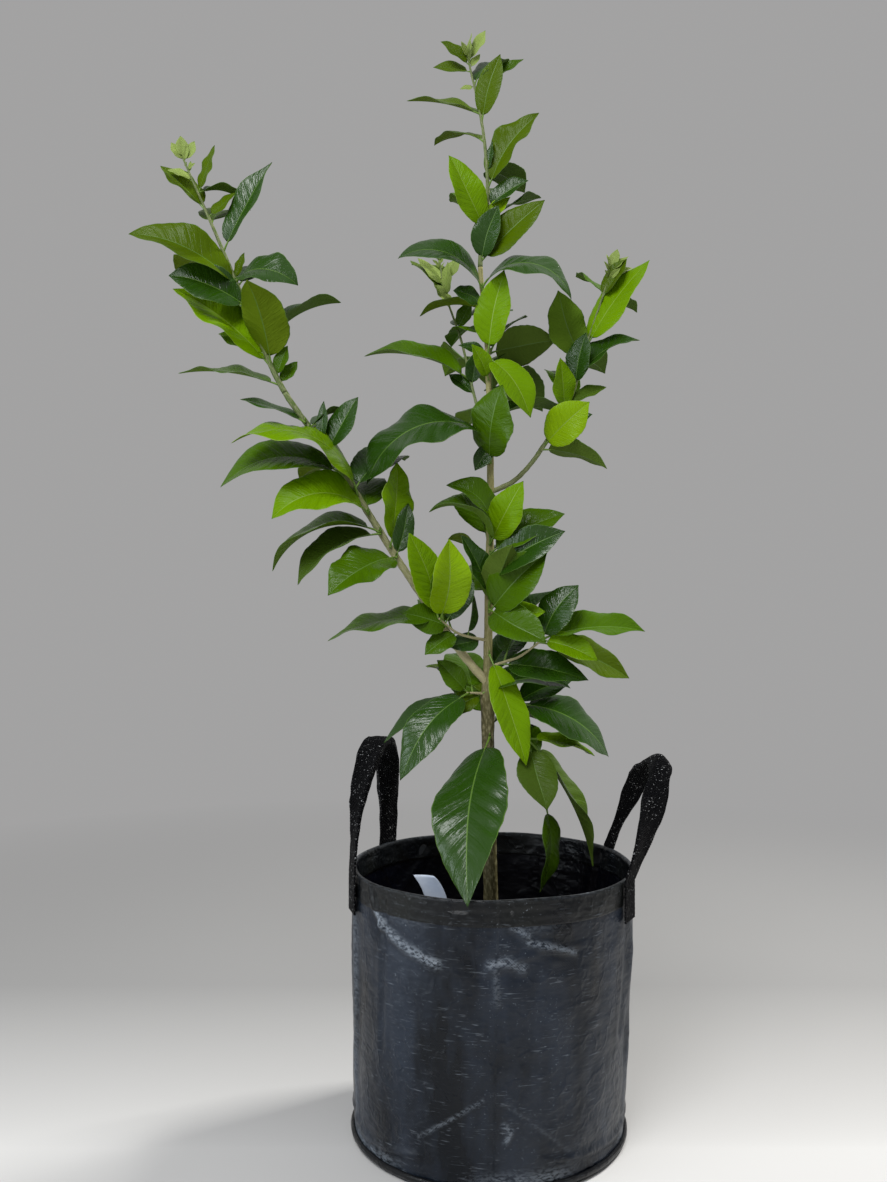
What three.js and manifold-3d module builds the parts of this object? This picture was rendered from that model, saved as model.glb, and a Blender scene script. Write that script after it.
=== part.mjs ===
// A young red grapefruit tree in a round woven grow bag with two webbing handles.
// Millimetres, +Z up. The origin is the centre of the bag's flat underside, +X is the
// tree's right hand seen from the front, and the front looks along -Y.

import * as THREE from 'three';
import { mergeVertices } from 'three/addons/utils/BufferGeometryUtils.js';
import Module from 'manifold-3d';

const wasm = await Module();
wasm.setup();

// Driving dimensions of the bag and what is sewn to it
const CLEAR = 0.3;
const BAG = { height: 280, rimRadius: 150, baseRadius: 145, wall: 2.5, bulge: 1.5, sides: 36 };
const HEM = { depth: 24, thick: 1.2 };
const WELT = { height: 6, thick: 4.4, rise: 3 };
const SOIL = { top: 200, collar: 24, dip: 6 };
const WEBBING = { width: 28, thick: 2.6, sewn: 40, steps: 22 };
const HANDLES = {
  handle_left: { middle: 168, spread: 28, rise: 130, lean: -8 },
  handle_right: { middle: 0, spread: 28, rise: 116, lean: 43 },
};
const TAG = { width: 34, height: 84, thick: 1.2, curl: 7, lean: 6, turn: -12, at: [-66, -52], steps: 6 };

// Driving dimensions of the wood and the leaves
const WOOD = {
  limbSides: 9, limbStep: 28, twigSides: 4, twigStep: 22, twigRadius: 1.5, twigTaper: [0.3, -0.5],
  footDrop: 7,
};
const LEAF = {
  widthShare: 0.58, stalkShare: 0.1, stalkRadius: 1.15, stalkMost: 0.7, thickShare: 0.02,
  leastThick: 1.2, fold: [0.1, 0.45], blade: { early: 0.86, full: 0.6, lean: 0.1 },
  stations: [0, 0.1, 0.32, 0.66], fewStations: [0, 0.42], smallSpan: 50,
};
const FAR = {
  span: [80, 125], shrink: 0.4, rise: [-10, 45], arch: [35, 95], turn: [-20, 20],
  turnShare: 0.618, sideways: 20, shares: [0.12, 0.92],
};

const UP = new THREE.Vector3(0, 0, 1);
const FRONT = new THREE.Vector3(0, -1, 0);
const radians = THREE.MathUtils.degToRad;

// Number rule that gives the same draws for the same seed
function seeded(seed) {
  let state = seed;
  return (low, high) => {
    state = (state * 16807) % 2147483647;
    return low + (high - low) * (state / 2147483647);
  };
}

// Closed bodies from rings of points

function body(corners, faces) {
  return new wasm.Manifold(new wasm.Mesh({
    numProp: 3,
    vertProperties: new Float32Array(corners.flatMap((corner) => corner.toArray())),
    triVerts: new Uint32Array(faces.flat()),
  }));
}

// Skins a row of rings into one closed body. Rings run counter-clockwise seen from
// ahead, and a last ring of one point is a tip.
function skin(rings) {
  const faces = [];
  const count = rings[0].length;
  for (let k = 1; k + 1 < count; k += 1) faces.push([0, k + 1, k]);
  rings.slice(1).forEach((next, index) => {
    const low = index * count;
    const high = low + count;
    for (let k = 0; k < count; k += 1) {
      const beside = (k + 1) % count;
      if (next.length === 1) {
        faces.push([low + k, low + beside, high]);
      } else {
        faces.push([low + k, low + beside, high + beside], [low + k, high + beside, high + k]);
      }
    }
  });
  const last = (rings.length - 1) * count;
  if (rings.at(-1).length > 1) {
    for (let k = 1; k + 1 < count; k += 1) faces.push([last, last + k, last + k + 1]);
  }
  return body(rings.flat(), faces);
}

// Turns a closed profile of [radius, height] points about the Z axis
function turned(profile, sides) {
  const points = profile.map(([radius, height]) => new THREE.Vector2(radius, height));
  const lathe = new THREE.LatheGeometry(points, sides).rotateX(Math.PI / 2);
  lathe.deleteAttribute('normal');
  lathe.deleteAttribute('uv');
  const merged = mergeVertices(lathe, 1e-3);
  const corners = [];
  for (let i = 0; i < merged.attributes.position.count; i += 1) {
    corners.push(new THREE.Vector3().fromBufferAttribute(merged.attributes.position, i));
  }
  const faces = [];
  for (let i = 0; i < merged.index.count; i += 3) {
    const face = [0, 1, 2].map((k) => merged.index.getX(i + k));
    if (new Set(face).size === 3) faces.push(face);
  }
  const solid = body(corners, faces);
  return solid.volume() > 0 ? solid : body(corners, faces.map(([a, b, c]) => [a, c, b]));
}

function mesh(name, solid, finish) {
  const { vertProperties, triVerts } = solid.getMesh();
  const geometry = new THREE.BufferGeometry();
  geometry.setAttribute('position', new THREE.BufferAttribute(vertProperties, 3));
  geometry.setIndex(new THREE.BufferAttribute(triVerts, 1));
  geometry.computeVertexNormals();
  const made = new THREE.Mesh(geometry, new THREE.MeshStandardMaterial(finish));
  made.name = name;
  return made;
}

const FINISH = {
  woven: { color: 0x23262f, roughness: 0.35, metalness: 0 },
  webbing: { color: 0x14151a, roughness: 0.7, metalness: 0 },
  soil: { color: 0x3a2a1e, roughness: 0.95, metalness: 0 },
  tag: { color: 0xc4d2ea, roughness: 0.4, metalness: 0 },
  bark: { color: 0x6f6a4c, roughness: 0.8, metalness: 0 },
  greenBark: { color: 0x6f8446, roughness: 0.6, metalness: 0 },
  leaf: { color: 0x4c7a1e, roughness: 0.35, metalness: 0 },
};

// The bag, its hem and welt, the soil and the handles

function bagRadius(height) {
  const share = height / BAG.height;
  const side = THREE.MathUtils.lerp(BAG.baseRadius, BAG.rimRadius, share);
  return side + BAG.bulge * Math.sin(Math.PI * share);
}

function bagWall(from, to, steps, inset) {
  const points = [];
  for (let i = 0; i <= steps; i += 1) {
    const height = THREE.MathUtils.lerp(from, to, i / steps);
    points.push([bagRadius(height) - inset, height]);
  }
  return points;
}

function growBag() {
  const outside = bagWall(0, BAG.height, 3, 0);
  const inside = bagWall(BAG.height, BAG.wall, 3, BAG.wall);
  return turned([[0, 0], ...outside, ...inside, [0, BAG.wall]], BAG.sides);
}

// The folded hem covers the wall's top edge inside and out
function rimHem() {
  const outer = bagRadius(BAG.height) + CLEAR;
  const inner = bagRadius(BAG.height) - BAG.wall - CLEAR;
  const low = BAG.height - HEM.depth;
  const lowOuter = bagRadius(low) + CLEAR;
  const lowInner = bagRadius(low) - BAG.wall - CLEAR;
  const top = BAG.height + CLEAR;
  return turned([
    [lowOuter, low], [lowOuter + HEM.thick, low], [outer + HEM.thick, top + HEM.thick],
    [inner - HEM.thick, top + HEM.thick], [lowInner - HEM.thick, low], [lowInner, low],
    [inner, top], [outer, top], [lowOuter, low],
  ], BAG.sides);
}

function baseWelt() {
  const low = WELT.rise;
  const high = WELT.rise + WELT.height;
  const seat = bagRadius(high) + CLEAR;
  const proud = seat + WELT.thick / 2;
  return turned([
    [seat, low], [proud, low + WELT.height / 4], [proud, high - WELT.height / 4],
    [seat, high], [seat, low],
  ], BAG.sides);
}

function soilFill() {
  const floor = BAG.wall + CLEAR;
  const wall = bagWall(floor, SOIL.top - SOIL.dip, 2, BAG.wall + CLEAR);
  return turned([[0, floor], ...wall, [SOIL.collar, SOIL.top], [0, SOIL.top]], BAG.sides);
}

function aroundAxis(degrees) {
  return new THREE.Vector3(Math.cos(radians(degrees)), Math.sin(radians(degrees)), 0);
}

// One handle: a flat strap up the wall, over in an arch and down again. Its flat side
// lies against the bag on the legs and faces up at the top of the arch.
function handle({ middle, spread, rise, lean }) {
  const face = bagRadius(BAG.height) + HEM.thick + 2 * CLEAR + WEBBING.thick / 2;
  const outward = aroundAxis(middle);
  const along = new THREE.Vector3().crossVectors(UP, outward);
  const halfSpan = face * Math.sin(radians(spread));
  const depth = face * Math.cos(radians(spread));
  const legTop = BAG.height;
  const legs = [-1, 1].map((sign) => aroundAxis(middle + sign * spread));
  const sewn = legs.map((leg) => leg.clone().multiplyScalar(face).setZ(legTop - WEBBING.sewn));
  const path = [{ at: sewn[0], lift: 0, leg: 0 }];
  for (let i = 0; i <= WEBBING.steps; i += 1) {
    const turn = Math.PI * (i / WEBBING.steps);
    const lift = Math.sin(turn);
    const at = outward.clone().multiplyScalar(depth + lean * lift)
      .addScaledVector(along, -halfSpan * Math.cos(turn))
      .setZ(legTop + rise * lift);
    path.push({ at, lift, leg: i * 2 > WEBBING.steps ? 1 : 0 });
  }
  path.push({ at: sewn[1], lift: 0, leg: 1 });
  const rings = path.map(({ at, lift, leg }, index) => {
    const before = path[Math.max(index - 1, 0)].at;
    const after = path[Math.min(index + 1, path.length - 1)].at;
    const ahead = new THREE.Vector3().subVectors(after, before).normalize();
    const flat = legs[leg].clone().multiplyScalar(1 - lift).addScaledVector(UP, lift);
    flat.addScaledVector(ahead, -flat.dot(ahead)).normalize();
    const across = new THREE.Vector3().crossVectors(flat, ahead);
    return [[1, -1], [1, 1], [-1, 1], [-1, -1]].map(([side, top]) => at.clone()
      .addScaledVector(across, side * WEBBING.width / 2)
      .addScaledVector(flat, top * WEBBING.thick / 2));
  });
  return skin(rings);
}

// Height of the soil, which falls a little from the collar to the wall
function soilHeight(radius) {
  const edge = bagRadius(SOIL.top) - BAG.wall;
  return SOIL.top - SOIL.dip * (radius - SOIL.collar) / (edge - SOIL.collar);
}

// The blank plant tag: a thin curled strip standing on the soil inside the bag
function plantTag() {
  const low = soilHeight(Math.hypot(...TAG.at) - TAG.width / 2) + CLEAR;
  const turn = aroundAxis(TAG.turn);
  const facing = new THREE.Vector3().crossVectors(turn, UP);
  const rings = [];
  for (let i = 0; i <= TAG.steps; i += 1) {
    const share = i / TAG.steps;
    const middle = new THREE.Vector3(...TAG.at, low + TAG.height * share)
      .addScaledVector(turn, TAG.lean * share)
      .addScaledVector(facing, TAG.curl * share * share);
    rings.push([[1, -1], [1, 1], [-1, 1], [-1, -1]].map(([side, face]) => middle.clone()
      .addScaledVector(turn, side * TAG.width / 2)
      .addScaledVector(facing, -face * TAG.thick / 2)));
  }
  return skin(rings);
}

// Routes of the wood: smooth curves through a few chosen places, [x, y, z]

function route(places) {
  const points = places.map((place) => new THREE.Vector3(...place));
  return new THREE.CatmullRomCurve3(points, false, 'catmullrom', 0.5);
}

const LEADER = route([
  [0, 0, SOIL.top + CLEAR], [-4, 0, 330], [-5, 0, 473], [-4, 1, 562], [-2, 3, 697],
  [-6, 6, 850], [-13, 8, 925], [-5, 6, 992], [-10, 2, 1066], [-27, 0, 1147],
]);
const LEFT = route([
  [-5, 0, 473], [-37, -8, 511], [-95, -20, 596], [-161, -32, 700], [-219, -38, 781],
  [-253, -40, 858], [-286, -40, 936], [-323, -38, 1021],
]);
const RIGHT = route([
  [-2, 3, 678], [26, 8, 693], [53, 16, 725], [86, 24, 781], [103, 28, 837], [133, 30, 927],
]);

// Radius along a route, from [share of the length, radius] steps
function tapered(steps) {
  return (share) => {
    const next = Math.max(1, steps.findIndex(([at]) => at >= share));
    const [from, thick] = steps[next - 1];
    const [to, thin] = steps[next];
    return THREE.MathUtils.lerp(thick, thin, (share - from) / (to - from));
  };
}

const LEADER_RADIUS = tapered([
  [0, 11.5], [0.015, 9.2], [0.05, 8], [0.2, 7.1], [0.275, 6.9], [0.31, 5], [0.5, 3.9],
  [0.76, 2.6], [1, 1],
]);
const LEFT_RADIUS = tapered([[0, 4.8], [0.24, 4], [0.58, 3.1], [0.8, 2], [1, 1]]);
const RIGHT_RADIUS = tapered([[0, 2.9], [0.3, 2.4], [1, 1]]);

// A stretch of a route as a row of places with their radius
function stretch(curve, radius, from, to, step) {
  const steps = Math.max(2, Math.round(curve.getLength() * (to - from) / step));
  const places = [];
  for (let i = 0; i <= steps; i += 1) {
    const share = THREE.MathUtils.lerp(from, to, i / steps);
    places.push({ at: curve.getPointAt(share), ahead: curve.getTangentAt(share), radius: radius(share) });
  }
  return places;
}

function tube(places, sides, extra = 0) {
  return skin(places.map(({ at, ahead, radius }) => {
    const across = new THREE.Vector3().crossVectors(FRONT, ahead).normalize();
    const beyond = new THREE.Vector3().crossVectors(ahead, across);
    return Array.from({ length: sides }, (_, k) => {
      const turn = 2 * Math.PI * (k / sides);
      return at.clone()
        .addScaledVector(across, (radius + extra) * Math.cos(turn))
        .addScaledVector(beyond, (radius + extra) * Math.sin(turn));
    });
  }));
}

// Shares of each route where one piece ends, and the share that the joint's gap takes
const LEADER_CUT = 0.76;
const LEFT_CUTS = [0.24, 0.585];
const RIGHT_CUT = 0.25;
const LEADER_GAP = CLEAR / LEADER.getLength();
const LEFT_GAP = CLEAR / LEFT.getLength();
const RIGHT_GAP = CLEAR / RIGHT.getLength();

const LIMB_PLACES = {
  trunk: stretch(LEADER, LEADER_RADIUS, 0, LEADER_CUT, WOOD.limbStep),
  left_bough_lower: stretch(LEFT, LEFT_RADIUS, 0, LEFT_CUTS[0], WOOD.limbStep),
  left_bough_upper: stretch(LEFT, LEFT_RADIUS, LEFT_CUTS[0] + LEFT_GAP, LEFT_CUTS[1], WOOD.limbStep),
  right_bough: stretch(RIGHT, RIGHT_RADIUS, 0, RIGHT_CUT, WOOD.limbStep),
};
// The trunk's foot is cut level
LIMB_PLACES.trunk[0].ahead.copy(UP);

// A twig that runs close beside a limb, on the side of it given in degrees round the
// limb (-90 is its front)
function beside(curve, radius, from, to, side) {
  const away = aroundAxis(side);
  return stretch(curve, radius, from, to, WOOD.twigStep).map(({ at, ahead, radius: thick }) => {
    const out = away.clone().addScaledVector(ahead, -away.dot(ahead)).normalize();
    const apart = thick + WOOD.twigRadius + 2 * CLEAR;
    return { at: at.clone().addScaledVector(out, apart), ahead, radius: WOOD.twigRadius, axis: at };
  });
}

// The foot of such a twig, bent in to the limb's middle just below its first place
function foot({ ahead, radius, axis }) {
  return { at: axis.clone().addScaledVector(ahead, -WOOD.footDrop), ahead, radius };
}

// A twig of its own from a few places, thinner towards its tip
function twig(places) {
  const thin = tapered(WOOD.twigTaper.map((more, end) => [end, WOOD.twigRadius + more]));
  return stretch(route(places), thin, 0, 1, WOOD.twigStep);
}

// Foliage. Each leaf row: [share up the twig, clock, near, span, arch, turn]. Clock is
// the way from root to tip seen from the front (0 right, 90 up, 180 left), near is how
// far that way leans to the front, span is the straight distance from root to tip in
// mm, arch is how far the leaf bends over its length, and turn is how far its upper
// face is rolled to the front. A seventh value is the width as a share of the length,
// where it isn't the usual one. Far leaves are added by rule round the other side.
const MASSES = {
  foliage_top: {
    stem: stretch(LEADER, LEADER_RADIUS, LEADER_CUT + LEADER_GAP, 1, WOOD.twigStep), seed: 25, far: 6,
    leaves: [
      [0.98, 83, 5, 28, 10, 60], [0.97, 62, 0, 38, 10, 45], [0.95, 144, 10, 39, 20, 60],
      [0.92, 173, 0, 41, 15, 48], [0.85, 192, 5, 16, 10, 60, 0.6], [0.72, 172, 5, 80, 25, 34],
      [0.68, 74, 10, 71, 20, 95, 0.42], [0.8, 41, 0, 68, 15, 34, 0.38], [0.37, 55, 5, 96, 35, 60, 0.46],
      [0.44, 80, 10, 34, 10, 99, 0.36], [0.17, 117, 12, 86, 50, 100, 0.44],
      [0.28, 31, 10, 52, 40, 56, 0.6], [0.2, 45, 15, 39, 20, 75], [0.02, 72, 15, 62, 20, 107],
      [0.025, 41, 15, 92, 15, 75, 0.46],
    ],
  },
  foliage_middle_front: {
    stem: beside(LEADER, LEADER_RADIUS, 0.525, 0.735, -90), seed: 23, far: 0,
    leaves: [
      [0.05, 82, 25, 86, 50, 118, 0.68], [0.17, 201, 12, 143, 125, 28, 0.46],
      [0.62, 303, 15, 84, 60, 40, 0.5], [0.64, 79, 14, 88, 20, 120, 0.5], [0.98, 161, 8, 97, 110, 32],
      [1, 350, 8, 97, 140, 30], [0.92, 166, 25, 38, 30, 60, 0.7], [0.1, 50, 15, 36, 15, 90, 0.5],
      [0.5, 118, 20, 42, 20, 100, 0.6], [0.15, 240, 20, 36, 20, 60], [0.64, 168, 18, 34, 10, 62, 0.5],
    ],
  },
  foliage_middle_back: {
    stem: beside(LEADER, LEADER_RADIUS, 0.56, 0.73, 50), seed: 31, far: 9,
    leaves: [
      [0.6, 14, -15, 78, 60, -60, 0.6], [0.05, 72, -20, 52, 20, 50, 0.4],
    ],
  },
  foliage_centre_front: {
    stem: beside(LEADER, LEADER_RADIUS, 0.35, 0.52, -90), seed: 41, far: 0,
    leaves: [
      [0.55, 63, 25, 80, 30, 110, 0.52], [0.49, 28, 5, 90, 35, 40], [0.34, 31, 20, 96, 40, 66, 0.5],
      [0.22, 116, 15, 72, 35, 80, 0.44], [0.1, 47, 18, 92, 30, 84, 0.62],
      [0.12, 330, 35, 80, 40, 58, 0.6], [0.15, 70, 30, 77, 30, -13, 0.55], [0.6, 131, 10, 73, 110, 40],
      [0.55, 147, 15, 76, 130, 28], [0.05, 9, 20, 63, 25, 61, 0.6],
    ],
  },
  foliage_centre_back: {
    stem: beside(LEADER, LEADER_RADIUS, 0.35, 0.49, 110), seed: 53, far: 9, leaves: [],
  },
  foliage_left_top: {
    stem: stretch(LEFT, LEFT_RADIUS, LEFT_CUTS[1] + LEFT_GAP, 1, WOOD.twigStep), seed: 69, far: 6,
    leaves: [
      [1, 97, 0, 24, 10, 70], [0.99, 125, 5, 24, 10, 50], [0.99, 65, -5, 24, 10, 60],
      [0.9, 155, 0, 30, 30, 30], [0.78, 135, 0, 69, 10, 26], [0.85, 70, 5, 52, 10, 60, 0.4],
      [0.75, 42, 0, 38, 10, 53, 0.6], [0.6, 60, 5, 104, 20, 66, 0.4],
      [0.44, 155, 10, 122, 60, 42, 0.46], [0.36, 160, 15, 84, 60, 55, 0.62],
      [0.1, 141, 0, 134, 35, 34, 0.5], [0.16, 148, -12, 60, 40, 50], [0.48, 72, 0, 30, 10, 50, 0.5],
      [0.47, 351, 22, 74, 100, 42, 0.64], [0.12, 101, 35, 96, 40, 10, 0.6],
      [0.18, 83, -10, 63, 15, 40, 0.3], [0.03, 173, 0, 108, 35, 18], [0.07, 68, 10, 34, 20, 80],
      [0.04, 54, -10, 30, 20, 50],
    ],
  },
  foliage_left_middle: {
    stem: beside(LEFT, LEFT_RADIUS, 0.25, 0.56, -90), seed: 71, far: 6,
    leaves: [
      [0.42, 158, 15, 140, 118, 30, 0.5], [0.55, 186, 5, 128, 88, 30, 0.54],
      [0.31, 184, 18, 102, 110, 36, 0.54], [0.2, 200, 0, 120, 95, 16], [0.19, 212, 5, 102, 62, 22],
      [0.04, 211, 38, 97, 60, 30, 0.6], [0.1, 86, -10, 94, 25, 75, 0.5],
      [0.04, 78, -15, 60, 20, 70, 0.4], [0.89, 161, 5, 71, 25, 20], [0.7, 61, 0, 65, 25, 55],
      [0.76, 86, 0, 43, 20, 70, 0.34],
    ],
  },
  foliage_left_inner: {
    stem: twig([[-5, 0, 519], [-24, -14, 523], [-40, -22, 529], [-58, -32, 544]]), seed: 83, far: 2,
    leaves: [
      [1, 109, 5, 94, 25, 60, 0.5], [0.95, 84, 25, 92, 50, -178, 0.52], [0.85, 57, -8, 56, 30, 60, 0.5],
      [0.6, 214, 28, 46, 30, 40], [0.75, 162, 20, 54, 30, 65, 0.66], [0.92, 184, 0, 122, 50, 22, 0.5],
      [0.4, 84, -12, 50, 20, 90, 0.45], [0.12, 190, 12, 40, 30, 65], [0.9, 95, 0, 62, 20, 110, 0.45],
    ],
  },
  foliage_low_left: {
    stem: twig([[-5, 0, 460], [-16, -8, 463], [-28, -14, 464]]), seed: 97, far: 2,
    leaves: [
      [0.9, 230, 22, 120, 80, 36, 0.37], [0.9, 211, -8, 108, 22, 14, 0.46],
      [0.95, 133, 5, 48, 30, 59, 0.6], [0.3, 210, 14, 44, 30, 48, 0.6],
    ],
  },
  foliage_low_front: {
    stem: beside(LEADER, LEADER_RADIUS, 0.195, 0.32, -80), seed: 101, far: 0,
    leaves: [
      [0.26, 259, 46, 204, 46, -15, 0.375], [1, 288, 14, 124, 22, 25, 0.32],
    ],
  },
  foliage_low_right: {
    stem: twig([[-5, 0, 446], [24, -1, 457], [36, -4, 432], [40, -8, 400], [56, -12, 345]]),
    seed: 113, far: 2,
    leaves: [
      [0.24, 330, -4, 116, 75, 36], [0.52, 344, -12, 78, 40, 30, 0.4], [0.57, 284, 35, 76, 30, 8, 0.6],
      [0.53, 297, 0, 158, 34, 22, 0.42], [1, 265, 12, 91, 45, 75, 0.5],
      [0.22, 20, -18, 74, 30, 40, 0.5],
    ],
  },
  foliage_low_right_twig: {
    stem: twig([[-4, 0, 490], [12, -4, 496], [30, -8, 503], [55, -10, 522]]), seed: 127, far: 3,
    leaves: [
      [0.95, 57, 5, 70, 60, 61, 0.6], [1, 4, 5, 106, 42, 22, 0.54], [0.95, 340, 20, 64, 40, 51, 0.5],
      [0.9, 338, -8, 107, 25, 27], [0.18, 350, 8, 96, 30, 52, 0.5],
    ],
  },
  foliage_low_back: {
    stem: beside(LEADER, LEADER_RADIUS, 0.215, 0.32, 95), seed: 131, far: 7, leaves: [],
  },
  foliage_back_left: {
    stem: twig([[-6, 5, 734], [-19, 20, 785], [-33, 40, 850], [-50, 52, 903], [-57, 60, 943]]),
    seed: 159, far: 4,
    leaves: [
      [0.86, 132, 0, 44, 20, 35], [0.73, 122, 0, 36, 15, 40], [0.8, 88, 5, 40, 15, 110],
      [1, 125, 0, 24, 10, 40], [1, 70, 0, 24, 10, 60], [0.33, 167, 0, 120, 60, 32, 0.5],
      [0.25, 139, -10, 37, 20, 40], [0.3, 81, 5, 38, 20, 100], [0.9, 50, 5, 30, 15, 60],
      [0.62, 65, 5, 34, 15, 80],
    ],
  },
  foliage_right: {
    stem: stretch(RIGHT, RIGHT_RADIUS, RIGHT_CUT + RIGHT_GAP, 1, WOOD.twigStep), seed: 165, far: 7,
    leaves: [
      [1, 75, 0, 22, 10, 60], [0.98, 105, 5, 20, 10, 60], [0.98, 42, 0, 26, 15, 35],
      [0.95, 25, -10, 30, 20, 30], [0.84, 58, 0, 50, 15, 45], [0.58, 54, 5, 116, 25, 52, 0.44],
      [0.4, 33, 5, 82, 75, 33], [0.51, 111, 12, 80, 35, -72], [0.46, 105, -22, 62, 20, -50],
      [0.38, 80, 20, 58, 20, 108], [0.24, 97, 20, 58, 20, 134, 0.55], [0.28, 24, 0, 46, 20, 34],
      [0.03, 43, 25, 70, 20, 90, 0.66], [0.01, 342, 12, 75, 50, -32], [0.1, 26, 5, 50, 20, 50],
    ],
  },
};

// The leaf's own directions: straight ahead from root to tip, lift towards its upper
// face, and the rolled frame that its bend and its blade follow
function leafFrame([, clock, near, , , turn]) {
  const flatly = Math.cos(radians(near));
  const ahead = new THREE.Vector3(
    flatly * Math.cos(radians(clock)), -Math.sin(radians(near)), flatly * Math.sin(radians(clock)),
  );
  const lift = UP.clone().addScaledVector(ahead, -ahead.z).normalize();
  const across = new THREE.Vector3().crossVectors(ahead, lift);
  if (across.dot(FRONT) < 0) across.negate();
  lift.multiplyScalar(Math.cos(radians(turn))).addScaledVector(across, Math.sin(radians(turn)));
  return { ahead, lift };
}

// Half-width of a blade along it, as a share of its widest
function bladeShare(share) {
  const { early, full, lean } = LEAF.blade;
  return Math.sin(Math.PI * share ** early) ** full * (1 - lean * share);
}

// One leaf: a stalk, then a blade folded up a little along its midrib, bent in an arc
function leaf(root, row, fold) {
  const { ahead, lift } = leafFrame(row);
  const [, , , span, arch, , broad = LEAF.widthShare] = row;
  const bend = radians(Math.max(arch, 2));
  const arc = span / (2 * Math.sin(bend / 2));
  const length = arc * bend;
  const thick = Math.max(LEAF.thickShare * length, LEAF.leastThick);
  const stalk = Math.min(LEAF.stalkRadius, thick * LEAF.stalkMost);
  const rings = (span > LEAF.smallSpan ? LEAF.stations : LEAF.fewStations).map((share) => {
    const angle = bend * (0.5 - share);
    const at = root.clone()
      .addScaledVector(ahead, arc * (Math.sin(bend / 2) - Math.sin(angle)))
      .addScaledVector(lift, arc * (Math.cos(angle) - Math.cos(bend / 2)));
    const along = ahead.clone().multiplyScalar(Math.cos(angle)).addScaledVector(lift, Math.sin(angle));
    const top = lift.clone().multiplyScalar(Math.cos(angle)).addScaledVector(ahead, -Math.sin(angle));
    const side = new THREE.Vector3().crossVectors(top, along);
    const blade = (share - LEAF.stalkShare) / (1 - LEAF.stalkShare);
    const half = blade <= 0 ? stalk : Math.max(broad * length * bladeShare(blade) / 2, stalk);
    const raised = (half - stalk) * Math.sin(fold);
    const deep = blade <= 0 ? stalk : thick / 2;
    const reach = half * Math.cos(fold);
    return [
      at.clone().addScaledVector(side, reach).addScaledVector(top, raised),
      at.clone().addScaledVector(top, deep),
      at.clone().addScaledVector(side, -reach).addScaledVector(top, raised),
      at.clone().addScaledVector(top, -deep),
    ];
  });
  rings.push([root.clone().addScaledVector(ahead, span)]);
  return skin(rings);
}

// Place at a share of a twig's length, counted along its row of places
function placeOn(places, share) {
  const along = share * (places.length - 1);
  const index = Math.min(Math.floor(along), places.length - 2);
  return places[index].at.clone().lerp(places[index + 1].at, along - index);
}

// Rows of the leaves that the rule adds behind: each a fixed turn round from the last
function farLeaves(count, draw) {
  return Array.from({ length: count }, (_, index) => {
    const way = FAR.sideways + (180 - 2 * FAR.sideways) * ((index * FAR.turnShare) % 1);
    const share = THREE.MathUtils.lerp(...FAR.shares, (index + 0.5) / count);
    const span = draw(...FAR.span) * (1 - FAR.shrink * share);
    const rise = draw(...FAR.rise);
    const flatly = Math.cos(radians(rise));
    const right = flatly * Math.cos(radians(way));
    const clock = THREE.MathUtils.radToDeg(Math.atan2(Math.sin(radians(rise)), right));
    const near = -THREE.MathUtils.radToDeg(Math.asin(flatly * Math.sin(radians(way))));
    return [share, clock, near, span, draw(...FAR.arch), draw(...FAR.turn)];
  });
}

const LIMBS = Object.fromEntries(Object.entries(LIMB_PLACES).map(([name, places]) => (
  [name, tube(places, WOOD.limbSides)]
)));
const TRUNK_ROOM = tube(LIMB_PLACES.trunk, WOOD.limbSides, CLEAR);
for (const name of ['left_bough_lower', 'right_bough']) LIMBS[name] = LIMBS[name].subtract(TRUNK_ROOM);

const BAG_PARTS = {
  grow_bag: growBag(),
  rim_hem: rimHem(),
  base_welt: baseWelt(),
  soil: soilFill(),
  plant_tag: plantTag(),
  ...Object.fromEntries(Object.entries(HANDLES).map(([name, size]) => [name, handle(size)])),
};

// The largest closed piece of a body, without loose scraps or sealed hollows
function whole(solid) {
  return solid.decompose().sort((a, b) => b.volume() - a.volume())[0];
}

const LIMB_ROOM = Object.values(LIMB_PLACES).map((places) => tube(places, WOOD.limbSides, CLEAR));
const grown = Object.entries(MASSES).map(([name, { stem, seed, far, leaves }]) => {
  const places = stem[0].axis ? [foot(stem[0]), ...stem] : stem;
  const twigBody = LIMB_ROOM.reduce((solid, room) => solid.subtract(room), tube(places, WOOD.twigSides));
  return { name, stem, draw: seeded(seed), far, leaves, pieces: [whole(twigBody)] };
});

function isFree(solid, mass) {
  const others = grown.filter((other) => other !== mass).flatMap(({ pieces }) => pieces);
  const fixed = [...Object.values(LIMBS), ...Object.values(BAG_PARTS)];
  return [...fixed, ...others].every((other) => solid.minGap(other, 2 * CLEAR) > CLEAR);
}

// Tries a leaf as charted, then swung a little, and leaves it out if it still touches
const SWINGS = [
  [0, 0], [0, 6], [0, -6], [6, 0], [-6, 0], [8, 10], [-8, 10], [8, -10], [-8, -10], [0, 16], [0, -16],
];
function place(mass, row, fold) {
  const root = placeOn(mass.stem, row[0]);
  for (const [clockSwing, nearSwing] of SWINGS) {
    const [share, clock, near, ...shape] = row;
    const solid = leaf(root, [share, clock + clockSwing, near + nearSwing, ...shape], fold);
    if (isFree(solid, mass)) {
      mass.pieces.push(solid);
      return;
    }
  }
}

for (const mass of grown) {
  for (const row of mass.leaves) place(mass, row, mass.draw(...LEAF.fold));
}
for (const mass of grown) {
  for (const row of farLeaves(mass.far, mass.draw)) place(mass, row, mass.draw(...LEAF.fold));
}

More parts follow.
